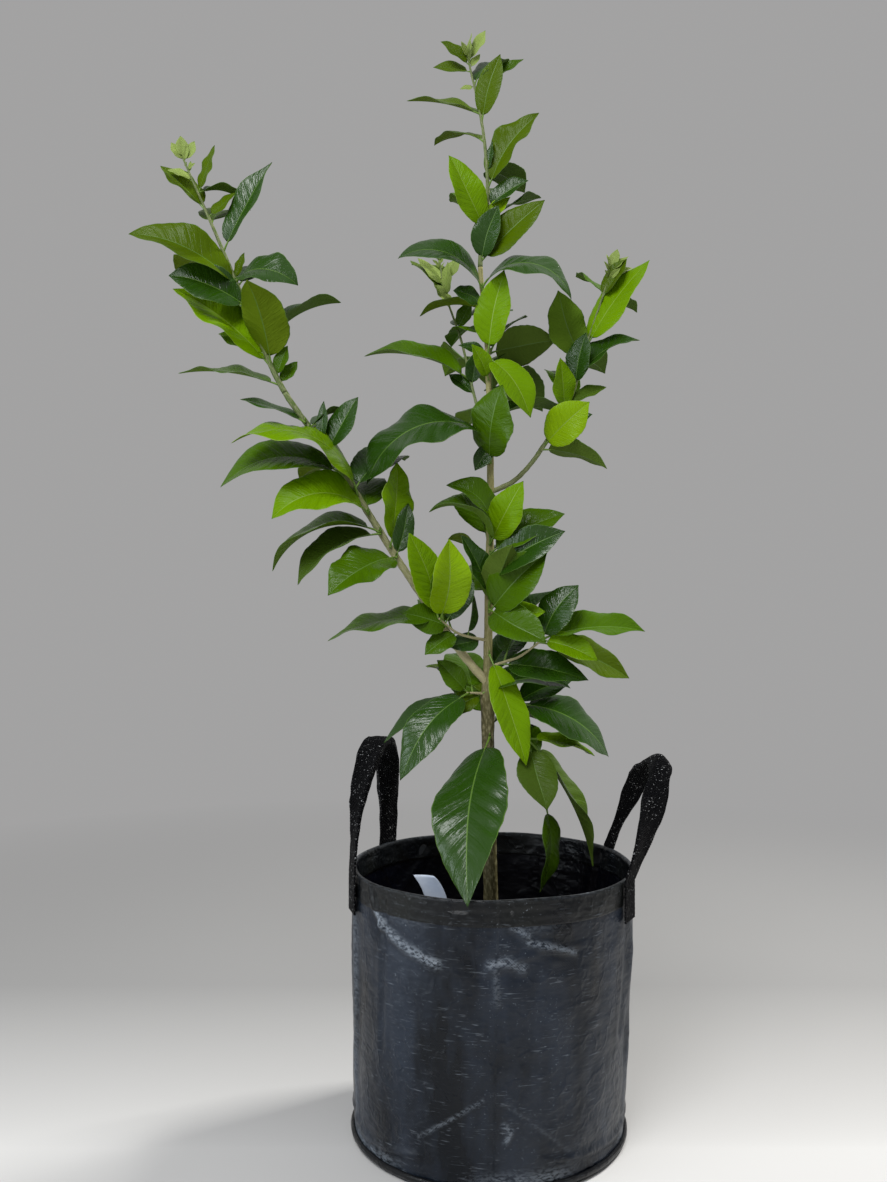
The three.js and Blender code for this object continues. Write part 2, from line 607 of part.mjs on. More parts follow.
const tree = new THREE.Group();
const bagFinish = {
  grow_bag: 'woven', rim_hem: 'woven', base_welt: 'woven', soil: 'soil', plant_tag: 'tag',
};
for (const [name, solid] of Object.entries(BAG_PARTS)) {
  tree.add(mesh(name, solid, FINISH[bagFinish[name] ?? 'webbing']));
}
for (const [name, solid] of Object.entries(LIMBS)) {
  tree.add(mesh(name, whole(solid), name === 'trunk' ? FINISH.bark : FINISH.greenBark));
}
for (const { name, pieces } of grown) {
  tree.add(mesh(name, whole(wasm.Manifold.union(pieces)), FINISH.leaf));
}

export default tree;
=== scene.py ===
# Looks of a young potted grapefruit tree: fine leaves and bark, a woven bag, straps and soil.
# Sizes and charts are in millimetres, like the solids' own, and each mesh is made in metres.
import math
import bpy
import numpy as np
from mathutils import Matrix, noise
from mathutils.bvhtree import BVHTree


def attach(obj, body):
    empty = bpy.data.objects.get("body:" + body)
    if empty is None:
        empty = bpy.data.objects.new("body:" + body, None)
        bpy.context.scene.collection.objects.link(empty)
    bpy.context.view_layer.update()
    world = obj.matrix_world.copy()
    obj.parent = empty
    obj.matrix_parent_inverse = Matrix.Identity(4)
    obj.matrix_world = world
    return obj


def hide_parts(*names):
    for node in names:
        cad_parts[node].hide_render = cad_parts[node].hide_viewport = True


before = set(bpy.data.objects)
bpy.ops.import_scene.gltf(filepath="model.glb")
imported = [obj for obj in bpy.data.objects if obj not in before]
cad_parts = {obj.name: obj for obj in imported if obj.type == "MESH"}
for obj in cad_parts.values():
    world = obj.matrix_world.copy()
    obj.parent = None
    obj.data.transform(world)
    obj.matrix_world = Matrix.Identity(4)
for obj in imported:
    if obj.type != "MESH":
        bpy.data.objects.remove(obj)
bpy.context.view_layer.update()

MM = 0.001
UP = np.array([0.0, 0.0, 1.0])
FRONT = np.array([0.0, -1.0, 0.0])

# Driving dimensions of the bag and what is sewn to it
CLEAR = 0.3
BAG = {"height": 280, "rim": 150, "base": 145, "wall": 2.5, "bulge": 1.5, "steps": 360}
# The seams at the foot and the rim hold the wall's lumps back over this height
WALL = {"held": 14, "above": 4, "least": 0.25, "sunk": 0.8, "sag": 0.4}
SKEW = {"shift": -4.5, "radius": -1.5}
HEM = {"depth": 24, "thick": 1.2}
PIPING = {"inset": -1.4, "height": 6.4, "thick": 2.6, "tall": 3.6, "steps": 12}
SOIL = {"top": 200, "collar": 24, "dip": 6, "steps": 160, "rings": 52, "inner": 3, "off_wall": 2.6}
BED = {"heights": (4.0, 100.0, 190.0), "off_wall": 6, "shift": -2}
CHIPS = {"seed": 977, "count": 900, "long": (3, 11), "wide": (2, 5), "thick": (0.8, 2.4)}
WEBBING = {
    "width": 28, "thick": 2.6, "sewn": 40, "held": 45, "loosens": 70, "rib": 2.8,
    "steps": 260, "leg_steps": 24, "columns": 17,
}
# Each handle's middle in degrees round from the right, half the turn it spans, its rise over the
# rim and its lean out, then its bulk, its top's droop and how much it gathers in at GATHER_AT
HANDLES = {
    "handle_left": {
        "middle": 168, "spread": 28, "rise": 130, "lean": -8, "bulk": 2.6, "droop": 2,
        "gather": (0, 0.06, 0.06, 0.06, 0.06, 0.03, 0),
    },
    "handle_right": {
        "middle": 0, "spread": 28, "rise": 116, "lean": 43, "bulk": 1.2, "droop": 9,
        "gather": (0, 0.05, 0.22, 0.1, 0.55, 0.4, 0),
    },
}
# Shares along a strap
GATHER_AT = (0.1, 0.3, 0.5, 0.66, 0.82, 0.9, 0.94)
TAG = {
    "width": 34, "half": 11.5, "height": 84, "curl": 7, "bow": 2.4, "thick": 0.6,
    "turn": -12, "at": (-66, -52), "rows": 30, "columns": 13,
}
# Pitches of the woven tapes, the webbing's ribs and its cross threads, in metres
PITCH = {"tape": 0.0026, "rib": 0.0036, "cross": 0.0024}

# Driving dimensions of the wood and the leaves
WOOD = {
    "twig_step": 22, "twig_radius": 1.5, "twig_taper": (0.3, -0.5), "fine_step": 2.5,
    "sides": 28, "twig_sides": 12,
}
# The swelling where the tree was grafted
GRAFT = {"height": 452, "half": 16, "swell": 1.3}
LEAF = {
    "width_share": 0.58, "stalk_share": 0.1, "stalk": 1.15, "stalk_most": 0.014,
    "fold": (0.1, 0.45), "early": 0.86, "full": 0.6, "lean": 0.1, "point": 0.4,
    "thick": 0.35, "grown": 60, "veins": 10, "vein_sweep": 0.16,
}
BUD = {"leaf_from": 45, "length": 5.0, "radius": 1.1}
TIPS = {"count": 6, "span": (9, 19), "clock": (35, 145), "near": (-40, 40), "turn": (20, 120)}
FAR = {
    "span": (80, 125), "shrink": 0.4, "rise": (-10, 45), "arch": (35, 95), "turn": (-20, 20),
    "turn_share": 0.618, "sideways": 20, "shares": (0.12, 0.92),
}


def seeded(seed):
    """Number rule that gives the same draws for the same seed"""
    state = seed

    def draw(low, high):
        nonlocal state
        state = (state * 16807) % 2147483647
        return low + (high - low) * (state / 2147483647)

    return draw


def lerp(low, high, share):
    return low + (high - low) * share


def unit(vectors):
    return vectors / np.linalg.norm(vectors, axis=-1, keepdims=True)


def around_axis(degrees):
    return np.array([math.cos(math.radians(degrees)), math.sin(math.radians(degrees)), 0.0])


def full_turn(steps):
    """Equal steps round a full turn, in degrees"""
    return np.arange(steps) * 360 / steps


def round_places(radius, flat, heights, shift=0):
    """Places round the upright axis, for angles in radians"""
    sides = radius * np.cos(flat) + shift, radius * np.sin(flat), heights
    return np.stack(np.broadcast_arrays(*sides), axis=-1)


def run_lengths(places):
    """How far along their line the places are"""
    return np.concatenate([[0], np.cumsum(np.linalg.norm(np.diff(places, axis=0), axis=1))])


def rough(places, size):
    """Smooth noise at places, for lumps of about the size given"""
    return np.array([noise.noise(place) for place in np.asarray(places).reshape(-1, 3) / size])


# Meshes gathered from grids of points


class Batch:
    """Points and four-cornered faces gathered for one mesh"""

    def __init__(self):
        self.points, self.faces, self.marks, self.grain = [], [], [], []
        self.count = 0

    def add(self, points, faces, marks=0, grain=None):
        points = np.asarray(points, float).reshape(-1, 3)
        faces = np.asarray(faces, int).reshape(-1, 4)
        self.points.append(points)
        self.faces.append(faces + self.count)
        self.marks.append(np.broadcast_to(marks, len(faces)))
        self.grain.append(np.zeros((len(points), 2)) if grain is None else grain.reshape(-1, 2))
        self.count += len(points)

    def loft(self, rings, marks=0, grain=None, flip=False):
        """Rings of points joined into a closed tube, with a cap over each end"""
        count, sides = rings.shape[:2]
        index = np.arange(count * sides).reshape(count, sides)
        skin = grid_faces(count, sides, True)[:, ::-1 if flip else 1]
        caps = cap_faces(index[0], False), cap_faces(index[-1])
        self.add(rings, np.concatenate([skin, *caps]), marks, grain)

    def make(self, name, looks):
        """The mesh object, with its looks in the order of the faces' marks"""
        mesh = bpy.data.meshes.new(name)
        points = np.concatenate(self.points) * MM
        faces = np.concatenate(self.faces)
        mesh.vertices.add(len(points))
        mesh.vertices.foreach_set("co", points.ravel())
        mesh.loops.add(faces.size)
        mesh.loops.foreach_set("vertex_index", faces.ravel())
        mesh.polygons.add(len(faces))
        mesh.polygons.foreach_set("loop_start", np.arange(0, faces.size, 4))
        mesh.polygons.foreach_set("material_index", np.concatenate(self.marks))
        mesh.polygons.foreach_set("use_smooth", np.ones(len(faces), bool))
        layer = mesh.uv_layers.new(name="grain")
        layer.uv.foreach_set("vector", np.concatenate(self.grain)[faces.ravel()].ravel())
        for look in looks:
            mesh.materials.append(look)
        mesh.update(calc_edges=True)
        made = bpy.data.objects.new(name, mesh)
        bpy.context.scene.collection.objects.link(made)
        return made


def cell_faces(index):
    """Faces between neighbours in a grid of point numbers"""
    corners = [index[:-1, :-1], index[:-1, 1:], index[1:, 1:], index[1:, :-1]]
    return np.stack(corners, axis=-1).reshape(-1, 4)


def grid_faces(rows, columns, closed=False):
    """Faces of a grid of points in rows, whose columns may close on themselves"""
    index = np.arange(rows * columns).reshape(rows, columns)
    return cell_faces(np.hstack([index, index[:, :1]]) if closed else index)


def cap_faces(ring, up=True):
    """Faces across a ring of an even number of points"""
    half = len(ring) // 2
    faces = [[ring[k], ring[k + 1], ring[-2 - k], ring[-1 - k]] for k in range(half - 1)]
    return np.array(faces) if up else np.array(faces)[:, ::-1]


def dress(piece, slot, *nodes):
    """The piece stands on the one body and takes the place of these solids"""
    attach(piece, "root")
    if nodes:
        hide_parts(*nodes)


# Materials


class Look:
    """A material built a node at a time"""

    def __init__(self, name, **shader):
        self.material = bpy.data.materials.new(name)
        self.material.use_nodes = True
        self.tree = self.material.node_tree
        self.shader = self.tree.nodes["Principled BSDF"]
        self.finish(**shader)

    def set(self, node, values):
        for socket, value in values.items():
            if isinstance(value, bpy.types.NodeSocket):
                self.tree.links.new(value, node.inputs[socket])
            else:
                node.inputs[socket].default_value = value

    def add(self, kind, values, output=0, **settings):
        node = self.tree.nodes.new("ShaderNode" + kind)
        for key, value in settings.items():
            setattr(node, key, value)
        self.set(node, values)
        return node.outputs[output]

    def parts(self, vector):
        """The three parts of a vector"""
        node = self.tree.nodes.new("ShaderNodeSeparateXYZ")
        self.set(node, {0: vector})
        return node.outputs

    def math(self, operation, first, second=0.0):
        return self.add("Math", {0: first, 1: second}, operation=operation)

    def plus(self, first, second):
        return self.math("ADD", first, second)

    def less(self, first, second):
        return self.math("SUBTRACT", first, second)

    def times(self, first, second):
        return self.math("MULTIPLY", first, second)

    def wave(self, value, pitch):
        return self.math("SINE", self.times(value, 2 * math.pi / pitch))

    def spread(self, value, low, high, start=0.0, end=1.0):
        values = {"Value": value, "From Min": low, "From Max": high, "To Min": start, "To Max": end}
        return self.add("MapRange", values)

    def mix(self, share, first, second):
        return self.add("Mix", {0: share, 6: first, 7: second}, output=2, data_type="RGBA")

    def places(self, *stretch):
        """Places in the object, in metres"""
        where = self.add("TexCoord", {}, output=3)
        return self.add("Mapping", {"Vector": where, "Scale": stretch or (1, 1, 1)})

    def grain(self, *stretch):
        """Places along the mesh's own grain"""
        where = self.add("UVMap", {}, uv_map="grain")
        return self.add("Mapping", {"Vector": where, "Scale": stretch or (1, 1, 1)})

    def cloud(self, where, scale, detail=3.0, roughness=0.55):
        values = {"Vector": where, "Scale": scale, "Detail": detail, "Roughness": roughness}
        return self.add("TexNoise", values)

    def relief(self, height, distance, strength=1.0, under=None):
        values = {"Height": height, "Distance": distance, "Strength": strength}
        if under is not None:
            values["Normal"] = under
        return self.add("Bump", values)

    def finish(self, **shader):
        self.set(self.shader, {key.replace("_", " "): value for key, value in shader.items()})
        return self.material


def solid(colour):
    return (*colour, 1.0)


# Upper and under side of each kind of leaf. The fourth and fifth kinds are painted backlight: leaves lit
# through from behind, given a lighter green as their colour
TONES = {
    "deep": ((0.017, 0.056, 0.002), (0.07, 0.125, 0.016)),
    "mid": ((0.052, 0.118, 0.001), (0.098, 0.178, 0.012)),
    "olive": ((0.064, 0.112, 0.001), (0.112, 0.172, 0.006)),
    # painted backlight: the glow of a leaf lit through from behind
    "bright": ((0.134, 0.262, 0.001), (0.17, 0.265, 0.01)),
    # painted backlight, stronger: a leaf lit through from behind
    "lime": ((0.204, 0.352, 0.003), (0.215, 0.325, 0.012)),
    "young": ((0.25, 0.33, 0.085), (0.3, 0.39, 0.13)),
    "grey": ((0.06, 0.108, 0.01), (0.092, 0.15, 0.02)),
}
# The two rim colours are painted glow: light shining through the thin leaf margin
RIB_TONES = {
    "rib": (0.2, 0.32, 0.03), "dark_rib": (0.085, 0.17, 0.02),
    "rim": (0.23, 0.36, 0.02), "dark_rim": (0.075, 0.16, 0.014),
    "stalk": (0.13, 0.23, 0.028),
}
DARK_LEAVES = ("deep", "mid", "olive", "grey")
# Roughness of the waxy skin and how bright it shines
WAX = {"deep": (0.24, 0.45), "mid": (0.23, 0.17), "other": (0.26, 0.1), "under": (0.55, 0.06)}


def leaf_look(name, colour, gloss, shine):
    """One plain leaf colour under a waxy skin, with its side veins and fine cells in relief"""
    look = Look(name, Base_Color=solid(colour), Specular_IOR_Level=shine)
    sideways, along, _ = look.parts(look.grain())
    across = look.math("ABSOLUTE", look.less(look.times(sideways, 2), 1))
    run = look.times(look.less(along, look.times(across, LEAF["vein_sweep"])), LEAF["veins"])
    veins = look.spread(look.math("ABSOLUTE", look.less(look.math("FRACT", run), 0.5)), 0.42, 0.5)
    cells = look.cloud(look.places(), 900, 2)
    patches = look.cloud(look.places(), 45, 3)
    height = look.plus(look.times(veins, -0.7), look.times(cells, 0.5))
    slant = look.add("CombineXYZ", {0: look.times(sideways, 1.6), 1: run})
    ripples = look.relief(look.cloud(slant, 3.0, 2, 0.5), 0.0016, 0.55)
    return look.finish(
        Roughness=look.spread(patches, 0.3, 0.7, gloss - 0.06, gloss + 0.1),
        Normal=look.relief(height, 0.0004, 0.6, ripples),
    )


def leaf_looks():
    """The looks of the leaves, and the mark of each"""
    looks, marks = [], {}
    for tone, colours in TONES.items():
        waxes = WAX.get(tone, WAX["other"]), WAX["under"]
        for side, colour, wax in zip(("upper", "under"), colours, waxes):
            marks[tone, side] = len(looks)
            looks.append(leaf_look(f"leaf_{tone}_{side}", colour, *wax))
    for name, colour in RIB_TONES.items():
        marks[name] = len(looks)
        look = Look("leaf_" + name, Base_Color=solid(colour))
        cells = look.cloud(look.places(), 500, 2)
        looks.append(look.finish(
            Roughness=look.spread(cells, 0.3, 0.7, 0.35, 0.5), Normal=look.relief(cells, 0.0002, 0.4),
        ))
    return looks, marks


# Name, low colour, high colour, the heights in metres where they change over, and the flecks
WOOD_TONES = {
    "bark": ("young_bark", (0.085, 0.075, 0.03), (0.31, 0.29, 0.11), (0.43, 0.6), (0.42, 0.38, 0.22)),
    "green_bark": (
        "green_bark", (0.45, 0.4, 0.22), (0.105, 0.16, 0.04), (0.48, 0.74), (0.52, 0.48, 0.32),
    ),
}


def wood_look(name, low, high, change, fleck):
    """Young bark: lengthwise streaks and flecks, turning from one colour to another with height"""
    look = Look(name, Specular_IOR_Level=0.25)
    streaks = look.cloud(look.grain(7, 14, 1), 1, 4)
    fine = look.cloud(look.grain(26, 60, 1), 1, 3)
    lumps = look.cloud(look.places(), 110, 4)
    risen = look.spread(look.parts(look.places())[2], *change)
    body = look.mix(risen, solid(low), solid(high))
    pale = look.mix(look.spread(streaks, 0.45, 0.72, 0, 0.65), body, solid(fleck))
    dark = look.mix(look.spread(fine, 0.5, 0.75, 0, 0.55), pale, solid((0.055, 0.045, 0.022)))
    height = look.plus(look.times(streaks, 0.6), look.times(lumps, 0.6))
    return look.finish(
        Base_Color=dark, Roughness=look.spread(lumps, 0.3, 0.7, 0.55, 0.75),
        Normal=look.relief(height, 0.0009, 0.8),
    )


def woven_look(name, tone, second, dust_and_sheen):
    """Laminated woven plastic: fine crossed tapes under a gloss skin, creases, dust and wear, with a
    lighter second tone in large clouds as painted reflection and pale streaks on the crumples as painted
    highlight
    """
    look = Look(name, Specular_IOR_Level=0.27)
    across, up, _ = look.parts(look.grain())
    weave = look.times(look.wave(across, PITCH["tape"]), look.wave(up, PITCH["tape"]))
    cloud = look.cloud(look.places(1, 1, 0.35), 15, 4, 0.6)
    crumple = look.cloud(look.places(1, 1, 1.9), 30, 3, 0.5)
    fold = look.less(look.cloud(look.places(1, 1, 0.8), 26, 3, 0.6), 0.5)
    ridge = look.spread(look.math("ABSOLUTE", fold), 0.0, 0.05, 1.0, 0.0)
    fine = look.cloud(look.places(1, 1, 2.2), 230, 4, 0.6)
    dust = look.cloud(look.places(1, 1, 1.4), 520, 2, 0.6)
    # painted highlight: long pale streaks, shown only on the crumples' crests below
    sheen_streaks = look.cloud(look.grain(60, 620, 1), 1, 2, 0.6)
    # the second, lighter bluish tone in large clouds is painted reflection of the bright surroundings on
    # the gloss skin
    body = look.mix(look.spread(cloud, 0.4, 0.64), solid(tone), solid(second))
    # pale threads where marked: wear, and on the creases painted highlight
    worn = look.add("Attribute", {}, output=2, attribute_name="paint_wear_and_highlight")
    specks = look.times(look.spread(dust, 0.68, 0.75), look.spread(cloud, 0.44, 0.62, 0.12, 1))
    shown = look.spread(crumple, 0.48, 0.58, 0.0, 0.32)
    # the pale streaks on the crests are painted highlights; the specks above are dust
    lines = look.times(look.spread(sheen_streaks, 0.6, 0.7), shown)
    threads = look.spread(look.plus(fine, look.times(weave, 0.06)), 0.42, 0.56)
    # the last argument scales the dust specks and the painted highlight streaks
    marks = look.times(look.math("MAXIMUM", specks, lines), dust_and_sheen)
    marks = look.math("MAXIMUM", marks, look.times(worn, threads))
    height = look.plus(look.plus(crumple, look.times(fine, 0.05)), look.times(ridge, 0.12))
    skin = look.relief(height, 0.0042, 0.85)
    return look.finish(
        Base_Color=look.mix(marks, body, solid((0.27, 0.31, 0.36))),
        Roughness=look.plus(look.spread(cloud, 0.35, 0.65, 0.24, 0.38), look.times(marks, 0.2)),
        Normal=look.relief(weave, 0.00012, 0.6, skin),
    )


def webbing_look(name):
    """Coarse black webbing with diagonal ribs and pale worn threads"""
    look = Look(name, Specular_IOR_Level=0.1)
    across, along, _ = look.parts(look.grain())
    ribs = look.wave(look.plus(across, along), PITCH["rib"])
    weave = look.plus(ribs, look.times(look.wave(across, PITCH["cross"]), 0.6))
    fray = look.cloud(look.places(1, 1, 1.3), 430, 2, 0.6)
    crush = look.cloud(look.places(), 90, 4, 0.6)
    worn = look.times(look.spread(fray, 0.63, 0.69), look.spread(crush, 0.44, 0.6, 0.15, 1))
    return look.finish(
        Base_Color=look.mix(worn, solid((0.003, 0.003, 0.004)), solid((0.5, 0.51, 0.52))),
        Roughness=look.spread(crush, 0.3, 0.7, 0.5, 0.75),
        Normal=look.relief(look.plus(weave, look.times(crush, 5.0)), 0.001, 1.0),
    )


def plain_look(name, first, second, scale, gloss, depth):
    """Two close colours in clouds, with a fine relief"""
    look = Look(name)
    cloud = look.cloud(look.places(), scale, 4, 0.6)
    return look.finish(
        Base_Color=look.mix(look.spread(cloud, 0.35, 0.65), solid(first), solid(second)),
        Roughness=look.spread(cloud, 0.3, 0.7, gloss - 0.05, gloss + 0.08),
        Normal=look.relief(look.cloud(look.places(), scale * 6, 3), depth),
    )


# The bag

# Each crease: width, rise, how pale it is painted, partly as wear and partly as painted highlight on the
# shining fold, and its places as turn round from the front and height
CREASES = [
    (4, 2.2, 0.9, (-58, 277), (-54, 258), (-49, 243)),
    (4.5, 2, 0.7, (-49, 243), (-38, 228), (-23, 216)),
    (2.4, 1.6, 0.55, (5, 254), (11, 245)),
    (2.6, 1.6, 0.55, (11, 239), (20, 233), (30, 225)),
    (4, 1.3, 0.5, (-3, 219), (3, 222), (9, 215)),
    (3, 1, 0.25, (-1, 214), (0, 182)),
    (2.4, 1.2, 0.5, (3, 66), (6, 60), (4, 50)),
    (7, 1.2, 0.32, (-74, 262), (-72, 150), (-76, 30)),
    (5, 1.2, 0.2, (70, 250), (74, 150), (70, 40)),
    (3.2, -1.4, 0, (-47, 282), (-48, 200), (-49, 120)),
    (1.8, 1.1, 0.28, (-30, 47), (-5, 90)),
    (2, -1.1, 0.12, (4, 87), (30, 32)),
    (4, 1.2, 0, (-4, 214), (6, 224), (20, 236)),
    (3.5, 1, 0, (8, 246), (22, 232), (34, 233)),
    (6, -1.6, 0, (62, 276), (66, 200), (60, 130)),
    (5, 1.4, 0, (75, 250), (70, 160), (74, 60)),
    (6, 1.4, 0, (-76, 240), (-72, 130), (-80, 40)),
    (5, 1.8, 0, (120, 276), (128, 190), (150, 150)),
    (5, -1.6, 0, (-150, 260), (-128, 200), (-120, 90)),
    (4, 1.2, 0, (172, 120), (200, 60)),
    (4, 1.5, 0, (20, 30), (60, 22), (95, 34)),
    (4, 1.5, 0, (-95, 30), (-60, 20), (-30, 30)),
]


def bag_radius(height):
    share = np.asarray(height, float) / BAG["height"]
    return lerp(BAG["base"], BAG["rim"], share) + BAG["bulge"] * np.sin(math.pi * share)


def crease_rise(turns, heights):
    """How far the creases lift the wall, and how pale they are painted, as wear and painted highlight, at
    turns round from the front
    """
    lift = np.zeros(np.broadcast(turns, heights).shape)
    worn = np.zeros(lift.shape)
    scale = math.radians(1) * BAG["rim"]
    for width, rise, wear_and_highlight, *path in CREASES:
        near = np.full(lift.shape, 1e9)
        for (turn, height), (next_turn, next_height) in zip(path, path[1:]):
            run = np.array([(next_turn - turn) * scale, next_height - height])
            off, up = ((turns - turn + 180) % 360 - 180) * scale, heights - height
            along = np.clip((off * run[0] + up * run[1]) / (run @ run), 0, 1)
            near = np.minimum(near, np.hypot(off - along * run[0], up - along * run[1]))
        shape = np.exp(-(near / width) ** 2)
        beside = np.exp(-((near - 1.9 * width) / width) ** 2)
        lift += rise * (shape - 0.45 * beside)
        worn = np.maximum(worn, wear_and_highlight * shape)
    return lift, worn


def bag_points(turns, heights, inset):
    """Places on the bag's wall, for turns in degrees round from the front and heights"""
    turns, heights = np.meshgrid(turns, heights)
    radius = bag_radius(heights)
    flat = np.radians(turns - 90)
    rest = round_places(radius, flat, heights)
    lumps = 1.5 * rough(rest, 75) + 1.0 * rough(rest * (1, 1, 0.6) + 500, 26)
    lumps = (lumps + 0.35 * rough(rest - 300, 10)).reshape(radius.shape)
    from_seam = np.minimum(heights, BAG["height"] + WALL["above"] - heights)
    loose = np.clip(from_seam / WALL["held"], WALL["least"], 1)
    low = 1 - heights / BAG["height"]
    radius = radius + (lumps + crease_rise(turns, heights)[0]) * loose
    radius = radius - WALL["sunk"] + SKEW["radius"] * low - inset
    sway = 0.7 * np.sin(np.radians(turns * 3 + 40)) + 0.5 * np.sin(np.radians(turns * 7))
    height = heights + sway * np.clip(heights / BAG["height"], 0, 1) ** 6 - WALL["sag"]
    return round_places(radius, flat, np.maximum(height, 0.0), SKEW["shift"] * low)


def ring_grain(turns, heights):
    turns, heights = np.meshgrid(turns, heights)
    return np.stack([np.radians(turns) * BAG["rim"] * MM, heights * MM], axis=-1)


def grow_bag():
    """The open shell: floor, outer wall, rim and inner wall in one skin"""
    steps = BAG["steps"]
    turns = full_turn(steps)
    outer = np.concatenate([[0.0, 0.6, 2.0], np.linspace(4, BAG["height"] - 1, 125)])
    inner = np.linspace(BAG["height"] - 1, BAG["wall"], 60)
    bottom = bag_points(turns, [0.0], 3.0)
    wall = bag_points(turns, outer, 0.0)
    wall[0] = bag_points(turns, [0.0], 1.2)[0]
    lip = bag_points(turns, [BAG["height"]], BAG["wall"] / 2)
    lining = bag_points(turns, inner, BAG["wall"])
    discs = [bag_points(turns, [0.0], 0) * (share, share, 0) for share in (0.04, 0.5)]
    floor = [disc * (1, 1, 0) + (0, 0, BAG["wall"]) for disc in discs[::-1]]
    rows = np.concatenate([*discs, bottom, wall, lip, lining, *floor])
    first = len(discs) + len(bottom)
    inside = np.arange(len(rows) - 1) >= first + len(outer)
    cap = np.ones(steps // 2 - 1, int)
    marks = np.concatenate([np.repeat(inside.astype(int), steps), 0 * cap, cap])
    batch = Batch()
    batch.loft(rows, marks, ring_grain(turns, run_lengths(rows[:, 0])))
    made = batch.make("bag_shell", [
        # the second tone: painted bluish reflection, mixed in by large clouds
        woven_look("woven_outside", (0.0018, 0.0032, 0.0058), (0.0165, 0.0235, 0.0375), 1.0),
        # darker copy of the outside plastic for the inner wall: painted shade inside the bag
        woven_look("woven_inside_painted_shade", (0.0008, 0.0012, 0.0034), (0.0012, 0.0016, 0.0044), 0.2),
    ])
    around, rise = np.meshgrid(turns, outer)

    def rubbed(most, height, patches):
        return most * np.exp(-((rise - height) / 9) ** 2) * np.clip(patches, 0, 1)

    rub = rubbed(0.45, 9, 0.5 + np.sin(np.radians(around * 5 + 30)))
    rub = rub + rubbed(0.22, 258, np.sin(np.radians(around * 7)))
    worn = np.zeros((len(rows), steps))
    # crease paleness is partly wear, partly painted highlight on shining folds; the rubs are wear
    worn[first + 1:first + 1 + len(outer)] = np.maximum(crease_rise(around, rise)[1], rub)
    paint_wear_and_highlight(made, worn)
    dress(made, "woven_plastic", "grow_bag")


def paint_wear_and_highlight(piece, values):
    """Marks how pale the piece is painted at each point, for its material: wear, and on the bag's creases
    also painted highlight
    """
    layer = piece.data.attributes.new("paint_wear_and_highlight", "FLOAT", "POINT")
    layer.data.foreach_set("value", np.ravel(values))


def band(name, look, profile, node, worn=0.0):
    """A closed band round the bag from a profile of insets and heights"""
    turns = full_turn(BAG["steps"])
    profile = profile + profile[:1]
    heights = np.array([height for _, height in profile])
    rows = np.concatenate([bag_points(turns, [height], inset) for inset, height in profile])
    batch = Batch()
    batch.add(rows, grid_faces(*rows.shape[:2], True), 0, ring_grain(turns, heights))
    made = batch.make(name, [look])
    edge = worn * np.exp(-((heights - heights.max()) / 1.6) ** 2)
    paint_wear_and_highlight(made, np.repeat(edge, len(turns)))
    dress(made, "woven_plastic", node)


def rim_hem():
    """The folded hem over the wall's top edge, a little puckered by its stitches"""
    low, top = BAG["height"] - HEM["depth"], BAG["height"]
    out, back = -CLEAR - 0.1, BAG["wall"] + CLEAR
    heights = np.linspace(low, top - 2, 12)
    pucker = 0.42 + 0.2 * np.sin(7 * heights)
    start = [(out, low), (out - HEM["thick"] * 0.35, low + 0.4)]
    outer = [(out - HEM["thick"] * swell, height) for swell, height in zip(pucker[1:], heights[1:])]
    over = [(out - 0.7, top + 0.2), (out + 0.4, top + 1.4)]
    over = over + [(back - 0.4, top + 1.4), (back + 0.7, top + 0.2)]
    inner = [(back + HEM["thick"] * 0.7, height) for height in heights[::-1]]
    close = [(back, low), (back - 0.1, top - 1), (out + 0.2, top - 1)]
    look = woven_look("woven_hem", (0.0028, 0.0036, 0.0052), (0.0062, 0.0072, 0.007), 1.0)
    band("hem_fold", look, start + outer + over + inner + close, "rim_hem", 0.09)


def base_welt():
    """The piped seam round the foot of the wall"""
    look = woven_look("woven_welt", (0.003, 0.0034, 0.0045), (0.006, 0.0066, 0.0075), 0.9)
    profile = [(
        PIPING["inset"] - PIPING["thick"] * math.cos(turn),
        PIPING["height"] - PIPING["tall"] * math.sin(turn),
    ) for turn in 2 * math.pi * np.arange(PIPING["steps"]) / PIPING["steps"]]
    band("base_piping", look, profile[::-1], "base_welt")


# The handles


def strap_path(size):
    """The route of a handle, and the way out of its flat side at each place"""
    face = bag_radius(BAG["height"]) + HEM["thick"] + 2 * CLEAR + WEBBING["thick"] / 2
    outward = around_axis(size["middle"])
    along = np.cross(UP, outward)
    half_span = face * math.sin(math.radians(size["spread"]))
    depth = face * math.cos(math.radians(size["spread"]))
    legs = [around_axis(size["middle"] + turn) for turn in (-size["spread"], size["spread"])]
    sewn = [leg * face + UP * (BAG["height"] - WEBBING["sewn"]) for leg in legs]
    turns = np.linspace(0, math.pi, WEBBING["steps"])
    lift = np.sin(turns)[:, None]
    arch = outward * (depth + size["lean"] * lift) - along * half_span * np.cos(turns)[:, None]
    arch = arch + UP * (BAG["height"] + size["rise"] * lift)
    before = np.linspace(sewn[0], arch[0], WEBBING["leg_steps"])[:-1]
    after = np.linspace(arch[-1], sewn[1], WEBBING["leg_steps"])[1:]
    at = np.concatenate([before, arch, after])
    lifts = np.pad(lift, ((len(before), len(after)), (0, 0)))
    side = np.linspace(0, 1, len(at))[:, None] > 0.5
    return at, np.where(side, legs[1], legs[0]) * (1 - lifts) + UP * lifts


